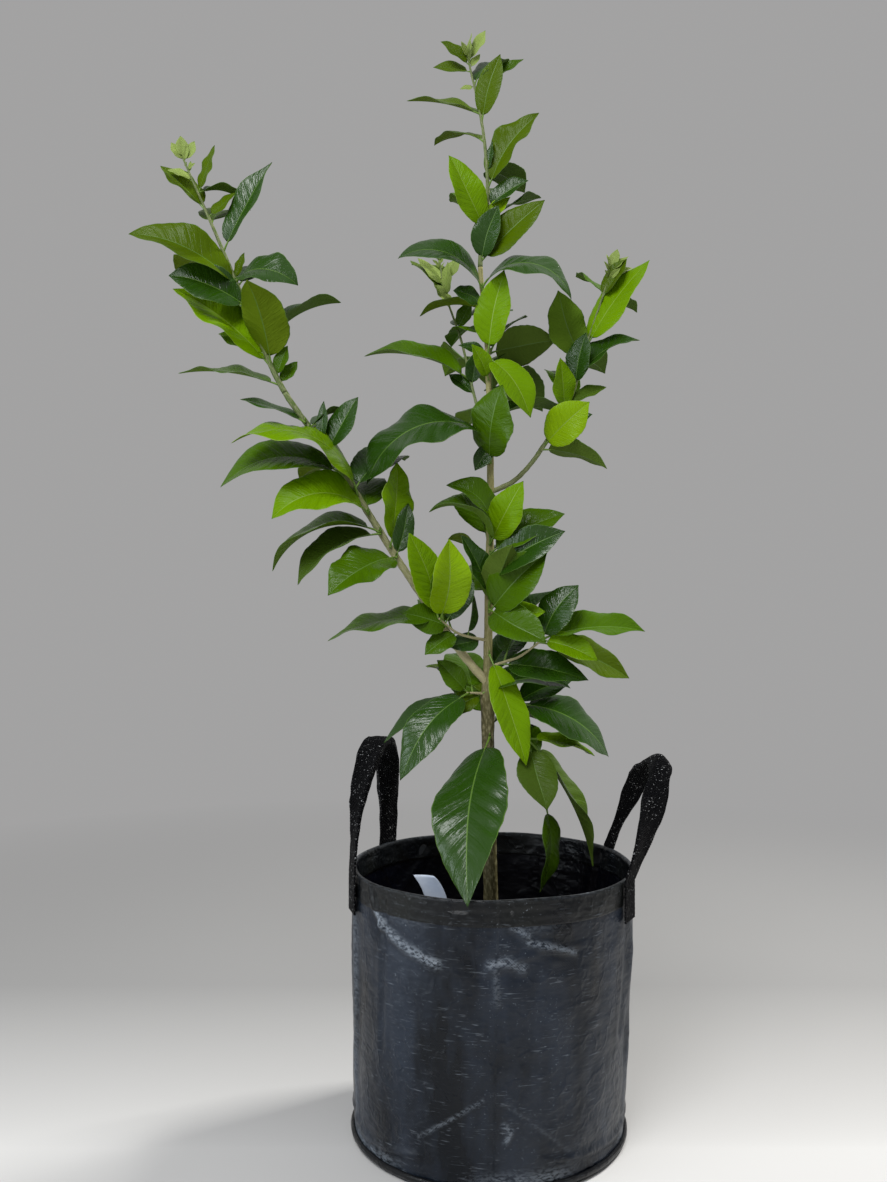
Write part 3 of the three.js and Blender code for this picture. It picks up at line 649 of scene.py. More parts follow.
def strap(name, size, look):
    """One webbing strap: ribbed, slightly crinkled, thick at its woven edges"""
    at, flat = strap_path(size)
    ahead = unit(np.gradient(at, axis=0))
    flat = unit(flat - ahead * np.sum(flat * ahead, axis=1, keepdims=True))
    across = np.cross(flat, ahead)
    run = run_lengths(at)
    columns = np.linspace(-1, 1, WEBBING["columns"])
    half = WEBBING["width"] / 2 - 0.4
    from_end = np.stack([run - WEBBING["held"], run[-1] - WEBBING["held"] - run])
    free = np.prod(np.clip(from_end / WEBBING["loosens"], 0, 1), axis=0)
    share = run / run[-1]
    gather = 1 - np.interp(share, GATHER_AT, size["gather"])
    peak = np.clip(1 - np.abs(share - 0.5) / 0.2, 0, 1)
    droop = size["droop"] * peak * peak * (3 - 2 * peak)
    wobble = 0.5 * rough(at, 9) + (0.4 + 1.2 * free) * rough(at + 90, 20)
    cup = (1.6 * np.sin(run / 31 + size["middle"]) + size["bulk"] - 0.6) * free
    spots = np.stack(np.broadcast_arrays(run[:, None], columns * 16, 0.0), axis=-1)
    crush = free[:, None] * rough(spots, 13).reshape(len(run), len(columns))
    slant = run[:, None] / WEBBING["rib"] + columns * half / WEBBING["rib"]
    ribs = 0.18 * np.sin(2 * math.pi * slant)
    bow = cup[:, None] * (columns ** 2 - 0.4) - droop[:, None] * columns ** 2 + 1.5 * crush
    edge = (0.75 + 0.25 * np.abs(columns) ** 6) * (1 + size["bulk"] * free[:, None] ** 2)
    side = (half * gather[:, None] + wobble[:, None]) * columns
    rows = []
    for sign in (1, -1):
        rise = sign * (WEBBING["thick"] / 2 - 0.3) * edge + ribs * sign + bow
        rows.append(at[:, None] + across[:, None] * side[..., None] + flat[:, None] * rise[..., None])
    girth = np.concatenate([columns * half, columns[::-1] * half])
    grain = np.stack(np.broadcast_arrays(girth * MM, run[:, None] * MM), axis=-1)
    batch = Batch()
    batch.loft(np.concatenate([rows[0], rows[1][:, ::-1]], axis=1), 0, grain, flip=True)
    dress(batch.make(name.replace("handle", "strap"), [look]), "webbing", name)


# Soil and tag

SOIL_EDGE = float(bag_radius(SOIL["top"])) - BAG["wall"] - SOIL["off_wall"]
CHIP_TONES = (
    ((0.06, 0.034, 0.018), (0.12, 0.07, 0.036)), ((0.022, 0.014, 0.01), (0.05, 0.03, 0.02)),
    ((0.13, 0.085, 0.05), (0.2, 0.14, 0.09)),
)


def soil_height(radius):
    edge = bag_radius(SOIL["top"]) - BAG["wall"]
    return SOIL["top"] - SOIL["dip"] * np.clip((radius - SOIL["collar"]) / (edge - SOIL["collar"]), 0, 1)


def soil_fill():
    """Lumpy potting mix that fills the bag"""
    flat = np.radians(full_turn(SOIL["steps"]))
    rings = np.linspace(SOIL_EDGE, SOIL["inner"], SOIL["rings"])[:, None]
    top = round_places(rings, flat, soil_height(rings))
    lumps = 1.6 * rough(top, 16) + 1.0 * rough(top + 70, 6) - 1.6
    top[..., 2] += lumps.reshape(top.shape[:2])
    walls = [
        round_places(bag_radius(height) - BAG["wall"] - BED["off_wall"], flat, height, BED["shift"])
        for height in BED["heights"]
    ]
    batch = Batch()
    batch.loft(np.concatenate([walls, top]))
    look = plain_look("potting_mix", (0.012, 0.008, 0.006), (0.05, 0.03, 0.018), 160, 0.9, 0.0016)
    dress(batch.make("soil_bed", [look]), "soil", "soil")


def bark_chips():
    """Loose chips strewn over the soil"""
    chips = Batch()
    draw = seeded(CHIPS["seed"])
    for _ in range(CHIPS["count"]):
        reach, turn = SOIL_EDGE * math.sqrt(draw(0.01, 0.93)), draw(0, 360)
        long, wide, thick = (draw(*CHIPS[key]) / 2 for key in ("long", "wide", "thick"))
        middle = around_axis(turn) * reach + UP * (soil_height(reach) - 0.6 + draw(0, 1.6))
        ahead = unit(around_axis(draw(0, 360)) + UP * draw(-0.5, 0.5))
        side = unit(np.cross(UP, ahead))
        over = np.cross(ahead, side)
        ends = []
        for end in (-1, 1):
            for a, b in ((-1, -1), (1, -1), (1, 1), (-1, 1)):
                out = 1 - 0.35 * draw(0, 1)
                corner = end * long * ahead * out + a * wide * side * out + b * thick * over * out
                ends.append(middle + corner)
        faces = [[0, 3, 2, 1], [4, 5, 6, 7], [0, 1, 5, 4], [1, 2, 6, 5], [2, 3, 7, 6], [3, 0, 4, 7]]
        chips.add(ends, faces, int(draw(0, 2.999)))
    made = chips.make("bark_chips", [
        plain_look(f"bark_chip_{k}", *tones, 220, 0.85, 0.001) for k, tones in enumerate(CHIP_TONES)
    ])
    for polygon in made.data.polygons:
        polygon.use_smooth = False
    dress(made, "soil")


def plant_tag():
    """The blank curled plastic label"""
    low = float(soil_height(math.hypot(*TAG["at"]) - TAG["width"] / 2)) + CLEAR
    turn = around_axis(TAG["turn"])
    facing = np.cross(turn, UP)
    share = np.linspace(0, 1, TAG["rows"])[:, None]
    middle = np.array([*TAG["at"], low]) + UP * TAG["height"] * share
    middle = middle + turn * (10 - 15 * share ** 5) + facing * TAG["curl"] * share ** 2
    columns = np.linspace(-1, 1, TAG["columns"])
    side = TAG["half"] * (1 - 0.08 * np.clip((share - 0.96) / 0.04, 0, 1)) * columns
    rows = []
    for thick in (TAG["thick"] / 2, -TAG["thick"] / 2):
        out = facing * (TAG["bow"] * columns ** 2 + thick)[:, None]
        rows.append(middle[:, None] + turn * side[..., None] + out)
    batch = Batch()
    batch.loft(np.concatenate([rows[0], rows[1][:, ::-1]], axis=1))
    look = plain_look("label_plastic", (0.46, 0.53, 0.66), (0.6, 0.66, 0.76), 40, 0.4, 0.0002)
    dress(batch.make("plant_label", [look]), "tag", "plant_tag")


# Routes of the wood


class Route:
    """Smooth curve through a few chosen places, measured by its length"""

    def __init__(self, places):
        points = np.array(places, float)
        ends = [2 * points[0] - points[1]], [2 * points[-1] - points[-2]]
        self.points = np.concatenate([ends[0], points, ends[1]])
        self.shares = np.linspace(0, 1, 201)
        self.lengths = run_lengths(self.raw(self.shares))
        self.length = self.lengths[-1]

    def raw(self, shares):
        count = len(self.points) - 3
        place = np.clip(shares, 0, 1) * count
        index = np.minimum(place.astype(int), count - 1)
        weight = (place - index)[:, None]
        before, start, end, after = (self.points[index + k] for k in range(4))
        leave, arrive = (end - before) / 2, (after - start) / 2
        square = -3 * start + 3 * end - 2 * leave - arrive
        cube = 2 * start - 2 * end + leave + arrive
        return start + leave * weight + square * weight ** 2 + cube * weight ** 3

    def turn_to(self, shares):
        return np.interp(np.asarray(shares, float) * self.length, self.lengths, self.shares)

    def at(self, shares):
        return self.raw(self.turn_to(shares))

    def ahead(self, shares):
        middle = self.turn_to(shares)
        return unit(self.raw(np.minimum(middle + 1e-4, 1)) - self.raw(np.maximum(middle - 1e-4, 0)))


LEADER = Route([
    (0, 0, SOIL["top"] + CLEAR), (-4, 0, 330), (-5, 0, 473), (-4, 1, 562), (-2, 3, 697),
    (-6, 6, 850), (-13, 8, 925), (-5, 6, 992), (-10, 2, 1066), (-27, 0, 1147),
])
LEFT = Route([
    (-5, 0, 473), (-37, -8, 511), (-95, -20, 596), (-161, -32, 700), (-219, -38, 781),
    (-253, -40, 858), (-286, -40, 936), (-323, -38, 1021),
])
RIGHT = Route([
    (-2, 3, 678), (26, 8, 693), (53, 16, 725), (86, 24, 781), (103, 28, 837), (133, 30, 927),
])
LEADER_RADIUS = [
    (0, 11.5), (0.015, 9.2), (0.05, 8), (0.2, 7.1), (0.275, 6.9), (0.31, 5), (0.5, 3.9),
    (0.76, 2.6), (1, 1),
]
LEFT_RADIUS = [(0, 4.8), (0.24, 4), (0.58, 3.1), (0.8, 2), (1, 1)]
RIGHT_RADIUS = [(0, 2.9), (0.3, 2.4), (1, 1)]
LEADER_CUT, LEFT_CUTS, RIGHT_CUT = 0.76, (0.24, 0.585), 0.25


class Stem:
    """A stretch of a route, which may run close beside it, on the side given in degrees"""

    def __init__(self, curve, radius, start, end, side=None):
        self.curve, self.radius, self.start, self.end, self.side = curve, radius, start, end, side
        self.places, _, _, self.axis = self.along(WOOD["twig_step"])

    def thick(self, shares):
        return np.interp(shares, *zip(*self.radius))

    def along(self, step):
        """Places, ways ahead, radii and the middles of the wood that they lie on"""
        steps = max(2, math.floor(self.curve.length * (self.end - self.start) / step + 0.5))
        shares = np.linspace(self.start, self.end, steps + 1)
        axis, ahead, radius = self.curve.at(shares), self.curve.ahead(shares), self.thick(shares)
        if self.side is None:
            return axis, ahead, radius, axis
        away = around_axis(self.side)
        out = unit(away - ahead * (ahead @ away)[:, None])
        apart = radius + WOOD["twig_radius"] + 2 * CLEAR
        return axis + out * apart[:, None], ahead, np.full(len(axis), WOOD["twig_radius"]), axis

    def root(self, share):
        """The place at a share of the stem, and the middle of the wood there"""
        place = share * (len(self.places) - 1)
        index = min(int(place), len(self.places) - 2)
        lines = self.places, self.axis
        return tuple(lerp(line[index], line[index + 1], place - index) for line in lines)


def past(cut, curve):
    """The share just past a cut in a limb"""
    return cut + CLEAR / curve.length


def twig(*places):
    radius = [(end, WOOD["twig_radius"] + more) for end, more in enumerate(WOOD["twig_taper"])]
    return Stem(Route(places), radius, 0, 1)


def leader_side(start, end, side):
    return Stem(LEADER, LEADER_RADIUS, start, end, side)


# Foliage. Each leaf row: share up the twig, clock, near, span, arch, turn and tone, with the
# width as a share of the length where it isn't the usual one. Clock is the way from root to
# tip seen from the front (0 right, 90 up, 180 left), near is how far that way leans to the
# front, span is the straight distance from root to tip, arch is how far the leaf bends over
# its length, and turn is how far its upper face is rolled to the front. Far leaves are added
# by rule round the other side.
MASSES = {
    "foliage_top": (Stem(LEADER, LEADER_RADIUS, past(LEADER_CUT, LEADER), 1), 25, 6, [
        (0.98, 83, 5, 28, 10, 60, "young"), (0.97, 62, 0, 38, 10, 45, "young"),
        (0.95, 144, 10, 39, 20, 60, "olive"), (0.92, 173, 0, 41, 15, 48, "olive"),
        (0.85, 192, 5, 16, 10, 60, "young", 0.6), (0.72, 172, 5, 80, 25, 34, "olive"),
        (0.68, 74, 10, 71, 20, 95, "olive", 0.42), (0.8, 41, 0, 68, 15, 34, "mid", 0.38),
        (0.37, 55, 5, 96, 35, 60, "olive", 0.46), (0.44, 80, 10, 34, 10, 99, "deep", 0.36),
        (0.17, 117, 12, 86, 50, 100, "bright", 0.44), (0.28, 31, 10, 52, 40, 56, "deep", 0.6),
        (0.2, 45, 15, 39, 20, 75, "lime"), (0.02, 72, 15, 62, 20, 107, "deep"),
        (0.025, 41, 15, 92, 15, 75, "olive", 0.46),
    ]),
    "foliage_middle_front": (leader_side(0.525, 0.735, -90), 23, 0, [
        (0.05, 82, 25, 86, 50, 118, "mid", 0.68), (0.17, 201, 12, 143, 125, 28, "deep", 0.46),
        (0.62, 303, 15, 84, 60, 40, "bright", 0.5), (0.64, 79, 14, 88, 20, 120, "bright", 0.5),
        (0.98, 161, 8, 97, 110, 32, "deep"), (1, 350, 8, 97, 140, 30, "deep"),
        (0.92, 166, 25, 38, 30, 60, "deep", 0.7), (0.1, 50, 15, 36, 15, 90, "deep", 0.5),
        (0.5, 118, 20, 42, 20, 100, "bright", 0.6), (0.15, 240, 20, 36, 20, 60, "deep"),
        (0.64, 168, 18, 34, 10, 62, "deep", 0.5),
    ]),
    "foliage_middle_back": (leader_side(0.56, 0.73, 50), 31, 9, [
        (0.6, 14, -15, 78, 60, -60, "grey", 0.6), (0.05, 72, -20, 52, 20, 50, "deep", 0.4),
    ]),
    "foliage_centre_front": (leader_side(0.35, 0.52, -90), 41, 0, [
        (0.55, 63, 25, 80, 30, 110, "bright", 0.52), (0.49, 28, 5, 90, 35, 40, "mid"),
        (0.34, 31, 20, 96, 40, 66, "deep", 0.5), (0.22, 116, 15, 72, 35, 80, "deep", 0.44),
        (0.1, 47, 18, 92, 30, 84, "mid", 0.62), (0.12, 330, 35, 80, 40, 58, "mid", 0.6),
        (0.15, 70, 30, 77, 30, -13, "grey", 0.55), (0.6, 131, 10, 73, 110, 40, "mid"),
        (0.55, 147, 15, 76, 130, 28, "mid"), (0.05, 9, 20, 63, 25, 61, "bright", 0.6),
    ]),
    "foliage_centre_back": (leader_side(0.35, 0.49, 110), 53, 9, []),
    "foliage_left_top": (Stem(LEFT, LEFT_RADIUS, past(LEFT_CUTS[1], LEFT), 1), 69, 6, [
        (1, 97, 0, 24, 10, 70, "young"), (0.99, 125, 5, 24, 10, 50, "young"),
        (0.99, 65, -5, 24, 10, 60, "young"), (0.9, 155, 0, 30, 30, 30, "young"),
        (0.78, 135, 0, 69, 10, 26, "olive"), (0.85, 70, 5, 52, 10, 60, "olive", 0.4),
        (0.75, 42, 0, 38, 10, 53, "olive", 0.6), (0.6, 60, 5, 104, 20, 66, "deep", 0.4),
        (0.44, 155, 10, 122, 60, 42, "olive", 0.46), (0.36, 160, 15, 84, 60, 55, "deep", 0.62),
        (0.1, 141, 0, 134, 35, 34, "bright", 0.5), (0.16, 148, -12, 60, 40, 50, "bright"),
        (0.48, 72, 0, 30, 10, 50, "olive", 0.5), (0.47, 351, 22, 74, 100, 42, "deep", 0.64),
        (0.12, 101, 35, 96, 40, 10, "olive", 0.6), (0.18, 83, -10, 63, 15, 40, "lime", 0.3),
        (0.03, 173, 0, 108, 35, 18, "mid"), (0.07, 68, 10, 34, 20, 80, "mid"),
        (0.04, 54, -10, 30, 20, 50, "mid"),
    ]),
    "foliage_left_middle": (Stem(LEFT, LEFT_RADIUS, 0.25, 0.56, -90), 71, 6, [
        (0.42, 158, 15, 140, 118, 30, "bright", 0.5), (0.55, 186, 5, 128, 88, 30, "mid", 0.54),
        (0.31, 184, 18, 102, 110, 36, "bright", 0.54), (0.2, 200, 0, 120, 95, 16, "mid"),
        (0.19, 212, 5, 102, 62, 22, "grey"), (0.04, 211, 38, 97, 60, 30, "mid", 0.6),
        (0.1, 86, -10, 94, 25, 75, "bright", 0.5), (0.04, 78, -15, 60, 20, 70, "deep", 0.4),
        (0.89, 161, 5, 71, 25, 20, "deep"), (0.7, 61, 0, 65, 25, 55, "deep"),
        (0.76, 86, 0, 43, 20, 70, "deep", 0.34),
    ]),
    "foliage_left_inner": (twig((-5, 0, 519), (-24, -14, 523), (-40, -22, 529), (-58, -32, 544)), 83, 2, [
        (1, 109, 5, 94, 25, 60, "bright", 0.5), (0.95, 84, 25, 92, 50, -178, "lime", 0.52),
        (0.85, 57, -8, 56, 30, 60, "deep", 0.5), (0.6, 214, 28, 46, 30, 40, "mid"),
        (0.75, 162, 20, 54, 30, 65, "mid", 0.66), (0.92, 184, 0, 122, 50, 22, "mid", 0.5),
        (0.4, 84, -12, 50, 20, 90, "deep", 0.45), (0.12, 190, 12, 40, 30, 65, "deep"),
        (0.9, 95, 0, 62, 20, 110, "mid", 0.45),
    ]),
    "foliage_low_left": (twig((-5, 0, 460), (-16, -8, 463), (-28, -14, 464)), 97, 2, [
        (0.9, 230, 22, 120, 80, 36, "deep", 0.37), (0.9, 211, -8, 108, 22, 14, "deep", 0.46),
        (0.95, 133, 5, 48, 30, 59, "mid", 0.6), (0.3, 210, 14, 44, 30, 48, "olive", 0.6),
    ]),
    "foliage_low_front": (leader_side(0.195, 0.32, -80), 101, 0, [
        (0.26, 259, 46, 204, 46, -15, "deep", 0.375), (1, 288, 14, 124, 22, 25, "bright", 0.32),
    ]),
    "foliage_low_right": (
        twig((-5, 0, 446), (24, -1, 457), (36, -4, 432), (40, -8, 400), (56, -12, 345)), 113, 2, [
            (0.24, 330, -4, 116, 75, 36, "deep"), (0.52, 344, -12, 78, 40, 30, "bright", 0.4),
            (0.57, 284, 35, 76, 30, 8, "grey", 0.6), (0.53, 297, 0, 158, 34, 22, "grey", 0.42),
            (1, 265, 12, 91, 45, 75, "mid", 0.5), (0.22, 20, -18, 74, 30, 40, "deep", 0.5),
        ]),
    "foliage_low_right_twig": (twig((-4, 0, 490), (12, -4, 496), (30, -8, 503), (55, -10, 522)), 127, 3, [
        (0.95, 57, 5, 70, 60, 61, "deep", 0.6), (1, 4, 5, 106, 42, 22, "mid", 0.54),
        (0.95, 340, 20, 64, 40, 51, "bright", 0.5), (0.9, 338, -8, 107, 25, 27, "olive"),
        (0.18, 350, 8, 96, 30, 52, "deep", 0.5),
    ]),
    "foliage_low_back": (leader_side(0.215, 0.32, 95), 131, 7, []),
    "foliage_back_left": (
        twig((-6, 5, 734), (-19, 20, 785), (-33, 40, 850), (-50, 52, 903), (-57, 60, 943)), 159, 4, [
            (0.86, 132, 0, 44, 20, 35, "young"), (0.73, 122, 0, 36, 15, 40, "young"),
            (0.8, 88, 5, 40, 15, 110, "young"), (1, 125, 0, 24, 10, 40, "young"),
            (1, 70, 0, 24, 10, 60, "young"), (0.33, 167, 0, 120, 60, 32, "mid", 0.5),
            (0.25, 139, -10, 37, 20, 40, "deep"), (0.3, 81, 5, 38, 20, 100, "deep"),
            (0.9, 50, 5, 30, 15, 60, "young"), (0.62, 65, 5, 34, 15, 80, "mid"),
        ]),
    "foliage_right": (Stem(RIGHT, RIGHT_RADIUS, past(RIGHT_CUT, RIGHT), 1), 165, 7, [
        (1, 75, 0, 22, 10, 60, "young"), (0.98, 105, 5, 20, 10, 60, "young"),
        (0.98, 42, 0, 26, 15, 35, "young"), (0.95, 25, -10, 30, 20, 30, "young"),
        (0.84, 58, 0, 50, 15, 45, "olive"), (0.58, 54, 5, 116, 25, 52, "bright", 0.44),
        (0.4, 33, 5, 82, 75, 33, "deep"), (0.51, 111, 12, 80, 35, -72, "mid"),
        (0.46, 105, -22, 62, 20, -50, "deep"), (0.38, 80, 20, 58, 20, 108, "deep"),
        (0.24, 97, 20, 58, 20, 134, "bright", 0.55), (0.28, 24, 0, 46, 20, 34, "grey"),
        (0.03, 43, 25, 70, 20, 90, "lime", 0.66), (0.01, 342, 12, 75, 50, -32, "grey"),
        (0.1, 26, 5, 50, 20, 50, "deep"),
    ]),
}
FAR_TONES = ("deep", "mid", "deep", "olive", "grey")


def leaf_frame(clock, near, turn):
    """Straight ahead from root to tip, and lift towards the leaf's upper face"""
    clock, near, turn = (math.radians(value) for value in (clock, near, turn))
    flatly = math.cos(near)
    ahead = np.array([flatly * math.cos(clock), -math.sin(near), flatly * math.sin(clock)])
    lift = unit(UP - ahead * ahead[2])
    across = np.cross(ahead, lift)
    if across @ FRONT < 0:
        across = -across
    return ahead, lift * math.cos(turn) + across * math.sin(turn)


class Leaf:
    """A leaf's own numbers: where it starts, how it lies and how it differs from the next"""

    def __init__(self, root, axis, row, fold, nature):
        _, clock, near, self.span, arch, turn, self.tone, *broad = row
        self.root, self.axis, self.fold = root, axis, fold
        self.clock, self.near, self.turn = clock, near, turn
        self.bend = math.radians(max(arch, 2))
        self.arc = self.span / (2 * math.sin(self.bend / 2))
        self.length = self.arc * self.bend
        self.grown = min(1, self.length / LEAF["grown"])
        self.broad = broad[0] if broad else LEAF["width_share"]
        self.stalk = min(LEAF["stalk"], LEAF["stalk_most"] * self.length + 0.1)
        self.twist = nature(-0.35, 0.35)
        self.wave, self.wave_count = nature(0.012, 0.038), nature(1.1, 2.6)
        self.phases = nature(0, 6.28), nature(0, 6.28)
        self.sway = nature(-0.035, 0.035)
        self.swing = (0, 0)

    def spine(self, shares):
        """Places along the midrib, and the ways along, up from and across the blade"""
        ahead, lift = leaf_frame(self.clock + self.swing[0], self.near + self.swing[1], self.turn)
        angle = self.bend * (0.5 - shares)[:, None]
        half = self.bend / 2
        at = self.root + ahead * self.arc * (math.sin(half) - np.sin(angle))
        at = at + lift * self.arc * (np.cos(angle) - math.cos(half))
        along = ahead * np.cos(angle) + lift * np.sin(angle)
        top = lift * np.cos(angle) - ahead * np.sin(angle)
        side = np.cross(top, along)
        at = at + side * (self.sway * self.length * np.sin(math.pi * shares) ** 2)[:, None]
        turn = (self.twist * np.clip(shares - LEAF["stalk_share"], 0, 1))[:, None]
        side, top = side * np.cos(turn) + top * np.sin(turn), top * np.cos(turn) - side * np.sin(turn)
        return at, along, top, side

    def half_width(self, blade):
        """Half the blade's width: widest below the middle, drawn out to a fine point"""
        full = LEAF["full"] + LEAF["point"] * blade ** 4
        share = np.sin(math.pi * blade ** LEAF["early"]) ** full * (1 - LEAF["lean"] * blade)
        notch = 1 + 0.014 * np.sin(2 * math.pi * 10 * blade + self.phases[0])
        notch = notch + 0.012 * np.sin(2 * math.pi * 2.7 * blade + self.phases[1])
        return np.maximum(self.broad * self.length * share * notch / 2, self.stalk * 0.35)

    def surface(self, shares, columns):
        """The upper skin as a grid, and the way up from it"""
        at, _, top, side = self.spine(shares)
        blade = np.clip((shares - LEAF["stalk_share"]) / (1 - LEAF["stalk_share"]), 0, 1)
        half = self.half_width(np.minimum(blade, 0.9995))[:, None]
        wide = np.abs(columns)[None, :]
        rise = half * math.sin(self.fold) * (wide ** 1.3) - 0.1 * half * wide ** 4
        phase = np.where(columns < 0, *self.phases)[None, :]
        waves = np.sin(2 * math.pi * self.wave_count * blade[:, None] + phase)
        rise = rise + self.wave * self.length * wide ** 2 * waves * np.sin(math.pi * blade)[:, None]
        run = LEAF["veins"] * (blade[:, None] - LEAF["vein_sweep"] * wide)
        swell = np.sin(math.pi * np.clip(wide, 0, 1)) * np.sin(math.pi * blade)[:, None]
        rise = rise + 0.005 * self.length * np.cos(2 * math.pi * (run - 0.5)) * swell
        rise = rise - 0.35 * self.grown * np.exp(-(wide * half / 1.2) ** 2)
        reach = half * columns[None, :] * math.cos(self.fold)
        return at[:, None] + side[:, None] * reach[..., None] + top[:, None] * rise[..., None], top


RIB, RIM = 0.022, 0.975
COLUMNS = np.array([RIB, 0.13, 0.28, 0.43, 0.58, 0.73, 0.87, RIM, 1.0])
COLUMNS = np.concatenate([-COLUMNS[::-1], [0.0], COLUMNS])
COARSE = np.array([-1.0, -0.5, 0.0, 0.5, 1.0])


def blade_skin(batch, leaf, marks):
    """A thin closed blade: upper skin, paler under skin, pale rib, and a pale rim that is painted glow of
    light through the thin margin
    """
    rows = int(np.clip(leaf.length / 2.7, 9, 54))
    shares = lerp(LEAF["stalk_share"], 1, np.linspace(0, 1, rows) ** 0.97)
    upper, top = leaf.surface(shares, COLUMNS)
    width = len(COLUMNS)
    thinner = 1 - 0.75 * np.linspace(0, 1, rows)
    swell = np.exp(-(COLUMNS / 0.05) ** 2)[None, :, None] * thinner[:, None, None]
    under = upper - top[:, None] * (LEAF["thick"] * leaf.grown + 0.75 * leaf.grown * swell)
    index = np.arange(rows * width).reshape(rows, width)
    below = index + rows * width
    for edge in (np.s_[0, :], np.s_[-1, :], np.s_[:, 0], np.s_[:, -1]):
        below[edge] = index[edge]
    faces = np.concatenate([cell_faces(index)[:, [0, 3, 2, 1]], cell_faces(below)])
    strip = np.full(width - 1, marks[leaf.tone, "upper"])
    shade = "dark_" if leaf.tone in DARK_LEAVES else ""
    # the rim strips: painted glow of light through the thin margin
    strip[[0, -1]] = marks[shade + "rim"]
    middle = (width - 1) // 2
    strip[[middle - 1, middle]] = marks[shade + "rib"]
    back = np.where(strip == marks[leaf.tone, "upper"], marks[leaf.tone, "under"], strip)
    every = np.concatenate([np.tile(strip, rows - 1), np.tile(back, rows - 1)])
    across, along = np.meshgrid((COLUMNS + 1) / 2, np.linspace(0, 1, rows))
    grain = np.tile(np.stack([across, along], axis=-1).reshape(-1, 2), (2, 1))
    batch.add(np.concatenate([upper.reshape(-1, 3), under.reshape(-1, 3)]), faces, every, grain)


def ways_out(ahead, sides):
    """The ways out from a line, in equal turns round it, and those turns"""
    across = unit(np.cross(FRONT, ahead))
    beyond = np.cross(ahead, across)
    turns = 2 * math.pi * np.arange(sides) / sides
    out = across[:, None] * np.cos(turns)[:, None] + beyond[:, None] * np.sin(turns)[:, None]
    return out, turns


def tube(batch, at, ahead, radius, sides, mark=0, relief=0):
    """A closed tube along places, with its girth as grain"""
    out, turns = ways_out(ahead, sides)
    rings = np.asarray(radius, float)[:, None] * np.ones(sides) + relief
    run = run_lengths(at)[:, None]
    grain = np.stack(np.broadcast_arrays(np.cos(turns) * 0.5, run * 0.01), axis=-1)
    batch.loft(at[:, None] + out * rings[..., None], mark, grain)


def stalk(batch, leaf, marks):
    """The leaf's stalk, from inside the wood to under the blade's foot"""
    shares = np.linspace(0, LEAF["stalk_share"] * 1.5, 9)
    at, along, top, _ = leaf.spine(shares)
    sink = np.clip(shares / LEAF["stalk_share"] - 0.7, 0, 1)[:, None]
    at = at - top * leaf.stalk * (0.25 + 0.6 * sink)
    radius = leaf.stalk * np.interp(shares / shares[-1], (0, 0.12, 0.6, 1), (1.35, 1.0, 0.85, 0.35))
    if np.linalg.norm(leaf.axis - leaf.root) > 0.1:
        at = np.concatenate([leaf.axis[None], at])
        along = np.concatenate([along[:1], along])
        radius = np.concatenate([radius[:1] * 1.15, radius])
    tube(batch, at, along, radius, 8, marks["stalk"])
    aside = leaf.root - leaf.axis
    if leaf.length < BUD["leaf_from"] or np.linalg.norm(aside) < 0.1:
        return
    shoot = unit(UP + 0.9 * unit(aside))
    shares = np.linspace(0, 1, 7)
    at = leaf.axis + 0.8 * aside + UP * 1.6 + shoot * BUD["length"] * shares[:, None]
    radius = BUD["radius"] * np.interp(shares, (0, 0.35, 1), (0.8, 1.0, 0.12))
    tube(batch, at, np.tile(shoot, (len(shares), 1)), radius, 8, marks["stalk"])


def coarse_tree(points, rows, columns):
    faces = grid_faces(rows, columns)
    return BVHTree.FromPolygons(points.reshape(-1, 3).tolist(), faces.tolist())


def leaf_tree(leaf):
    """A coarse blade for trying whether it is free"""
    points, _ = leaf.surface(np.linspace(0.3, 1, 7), COARSE)
    return coarse_tree(points, 7, len(COARSE))


def tube_tree(at, ahead, radius):
    batch = Batch()
    tube(batch, at, ahead, radius, 8)
    return BVHTree.FromPolygons(batch.points[0].tolist(), batch.faces[0].tolist())


SWINGS = [
    (0, 0), (0, 6), (0, -6), (6, 0), (-6, 0), (8, 10), (-8, 10), (8, -10), (-8, -10), (0, 16), (0, -16),
]


def settle(leaf, taken, must):
    """Tries a leaf as charted, then swung a little, and says whether it may stay"""
    counts = []
    for swing in SWINGS[:5] if must else SWINGS:
        leaf.swing = swing
        tree = leaf_tree(leaf)
        counts.append(sum(len(tree.overlap(other)) > 0 for other in taken))
        if counts[-1] == 0:
            break
    best = int(np.argmin(counts))
    leaf.swing = SWINGS[best]
    if counts[best] and not must:
        return False
    taken.append(leaf_tree(leaf))
    return True


def far_rows(count, draw):
    """Rows of the leaves that the rule adds behind: each a fixed turn round from the last"""
    rows = []
    for index in range(count):
        way = FAR["sideways"] + (180 - 2 * FAR["sideways"]) * ((index * FAR["turn_share"]) % 1)
        share = lerp(*FAR["shares"], (index + 0.5) / count)
        span = draw(*FAR["span"]) * (1 - FAR["shrink"] * share)
        rise = math.radians(draw(*FAR["rise"]))
        right = math.cos(rise) * math.cos(math.radians(way))
        clock = math.degrees(math.atan2(math.sin(rise), right))
        near = -math.degrees(math.asin(math.cos(rise) * math.sin(math.radians(way))))
        tone = FAR_TONES[index % len(FAR_TONES)]
        rows.append((share, clock, near, span, draw(*FAR["arch"]), draw(*FAR["turn"]), tone))
    return rows


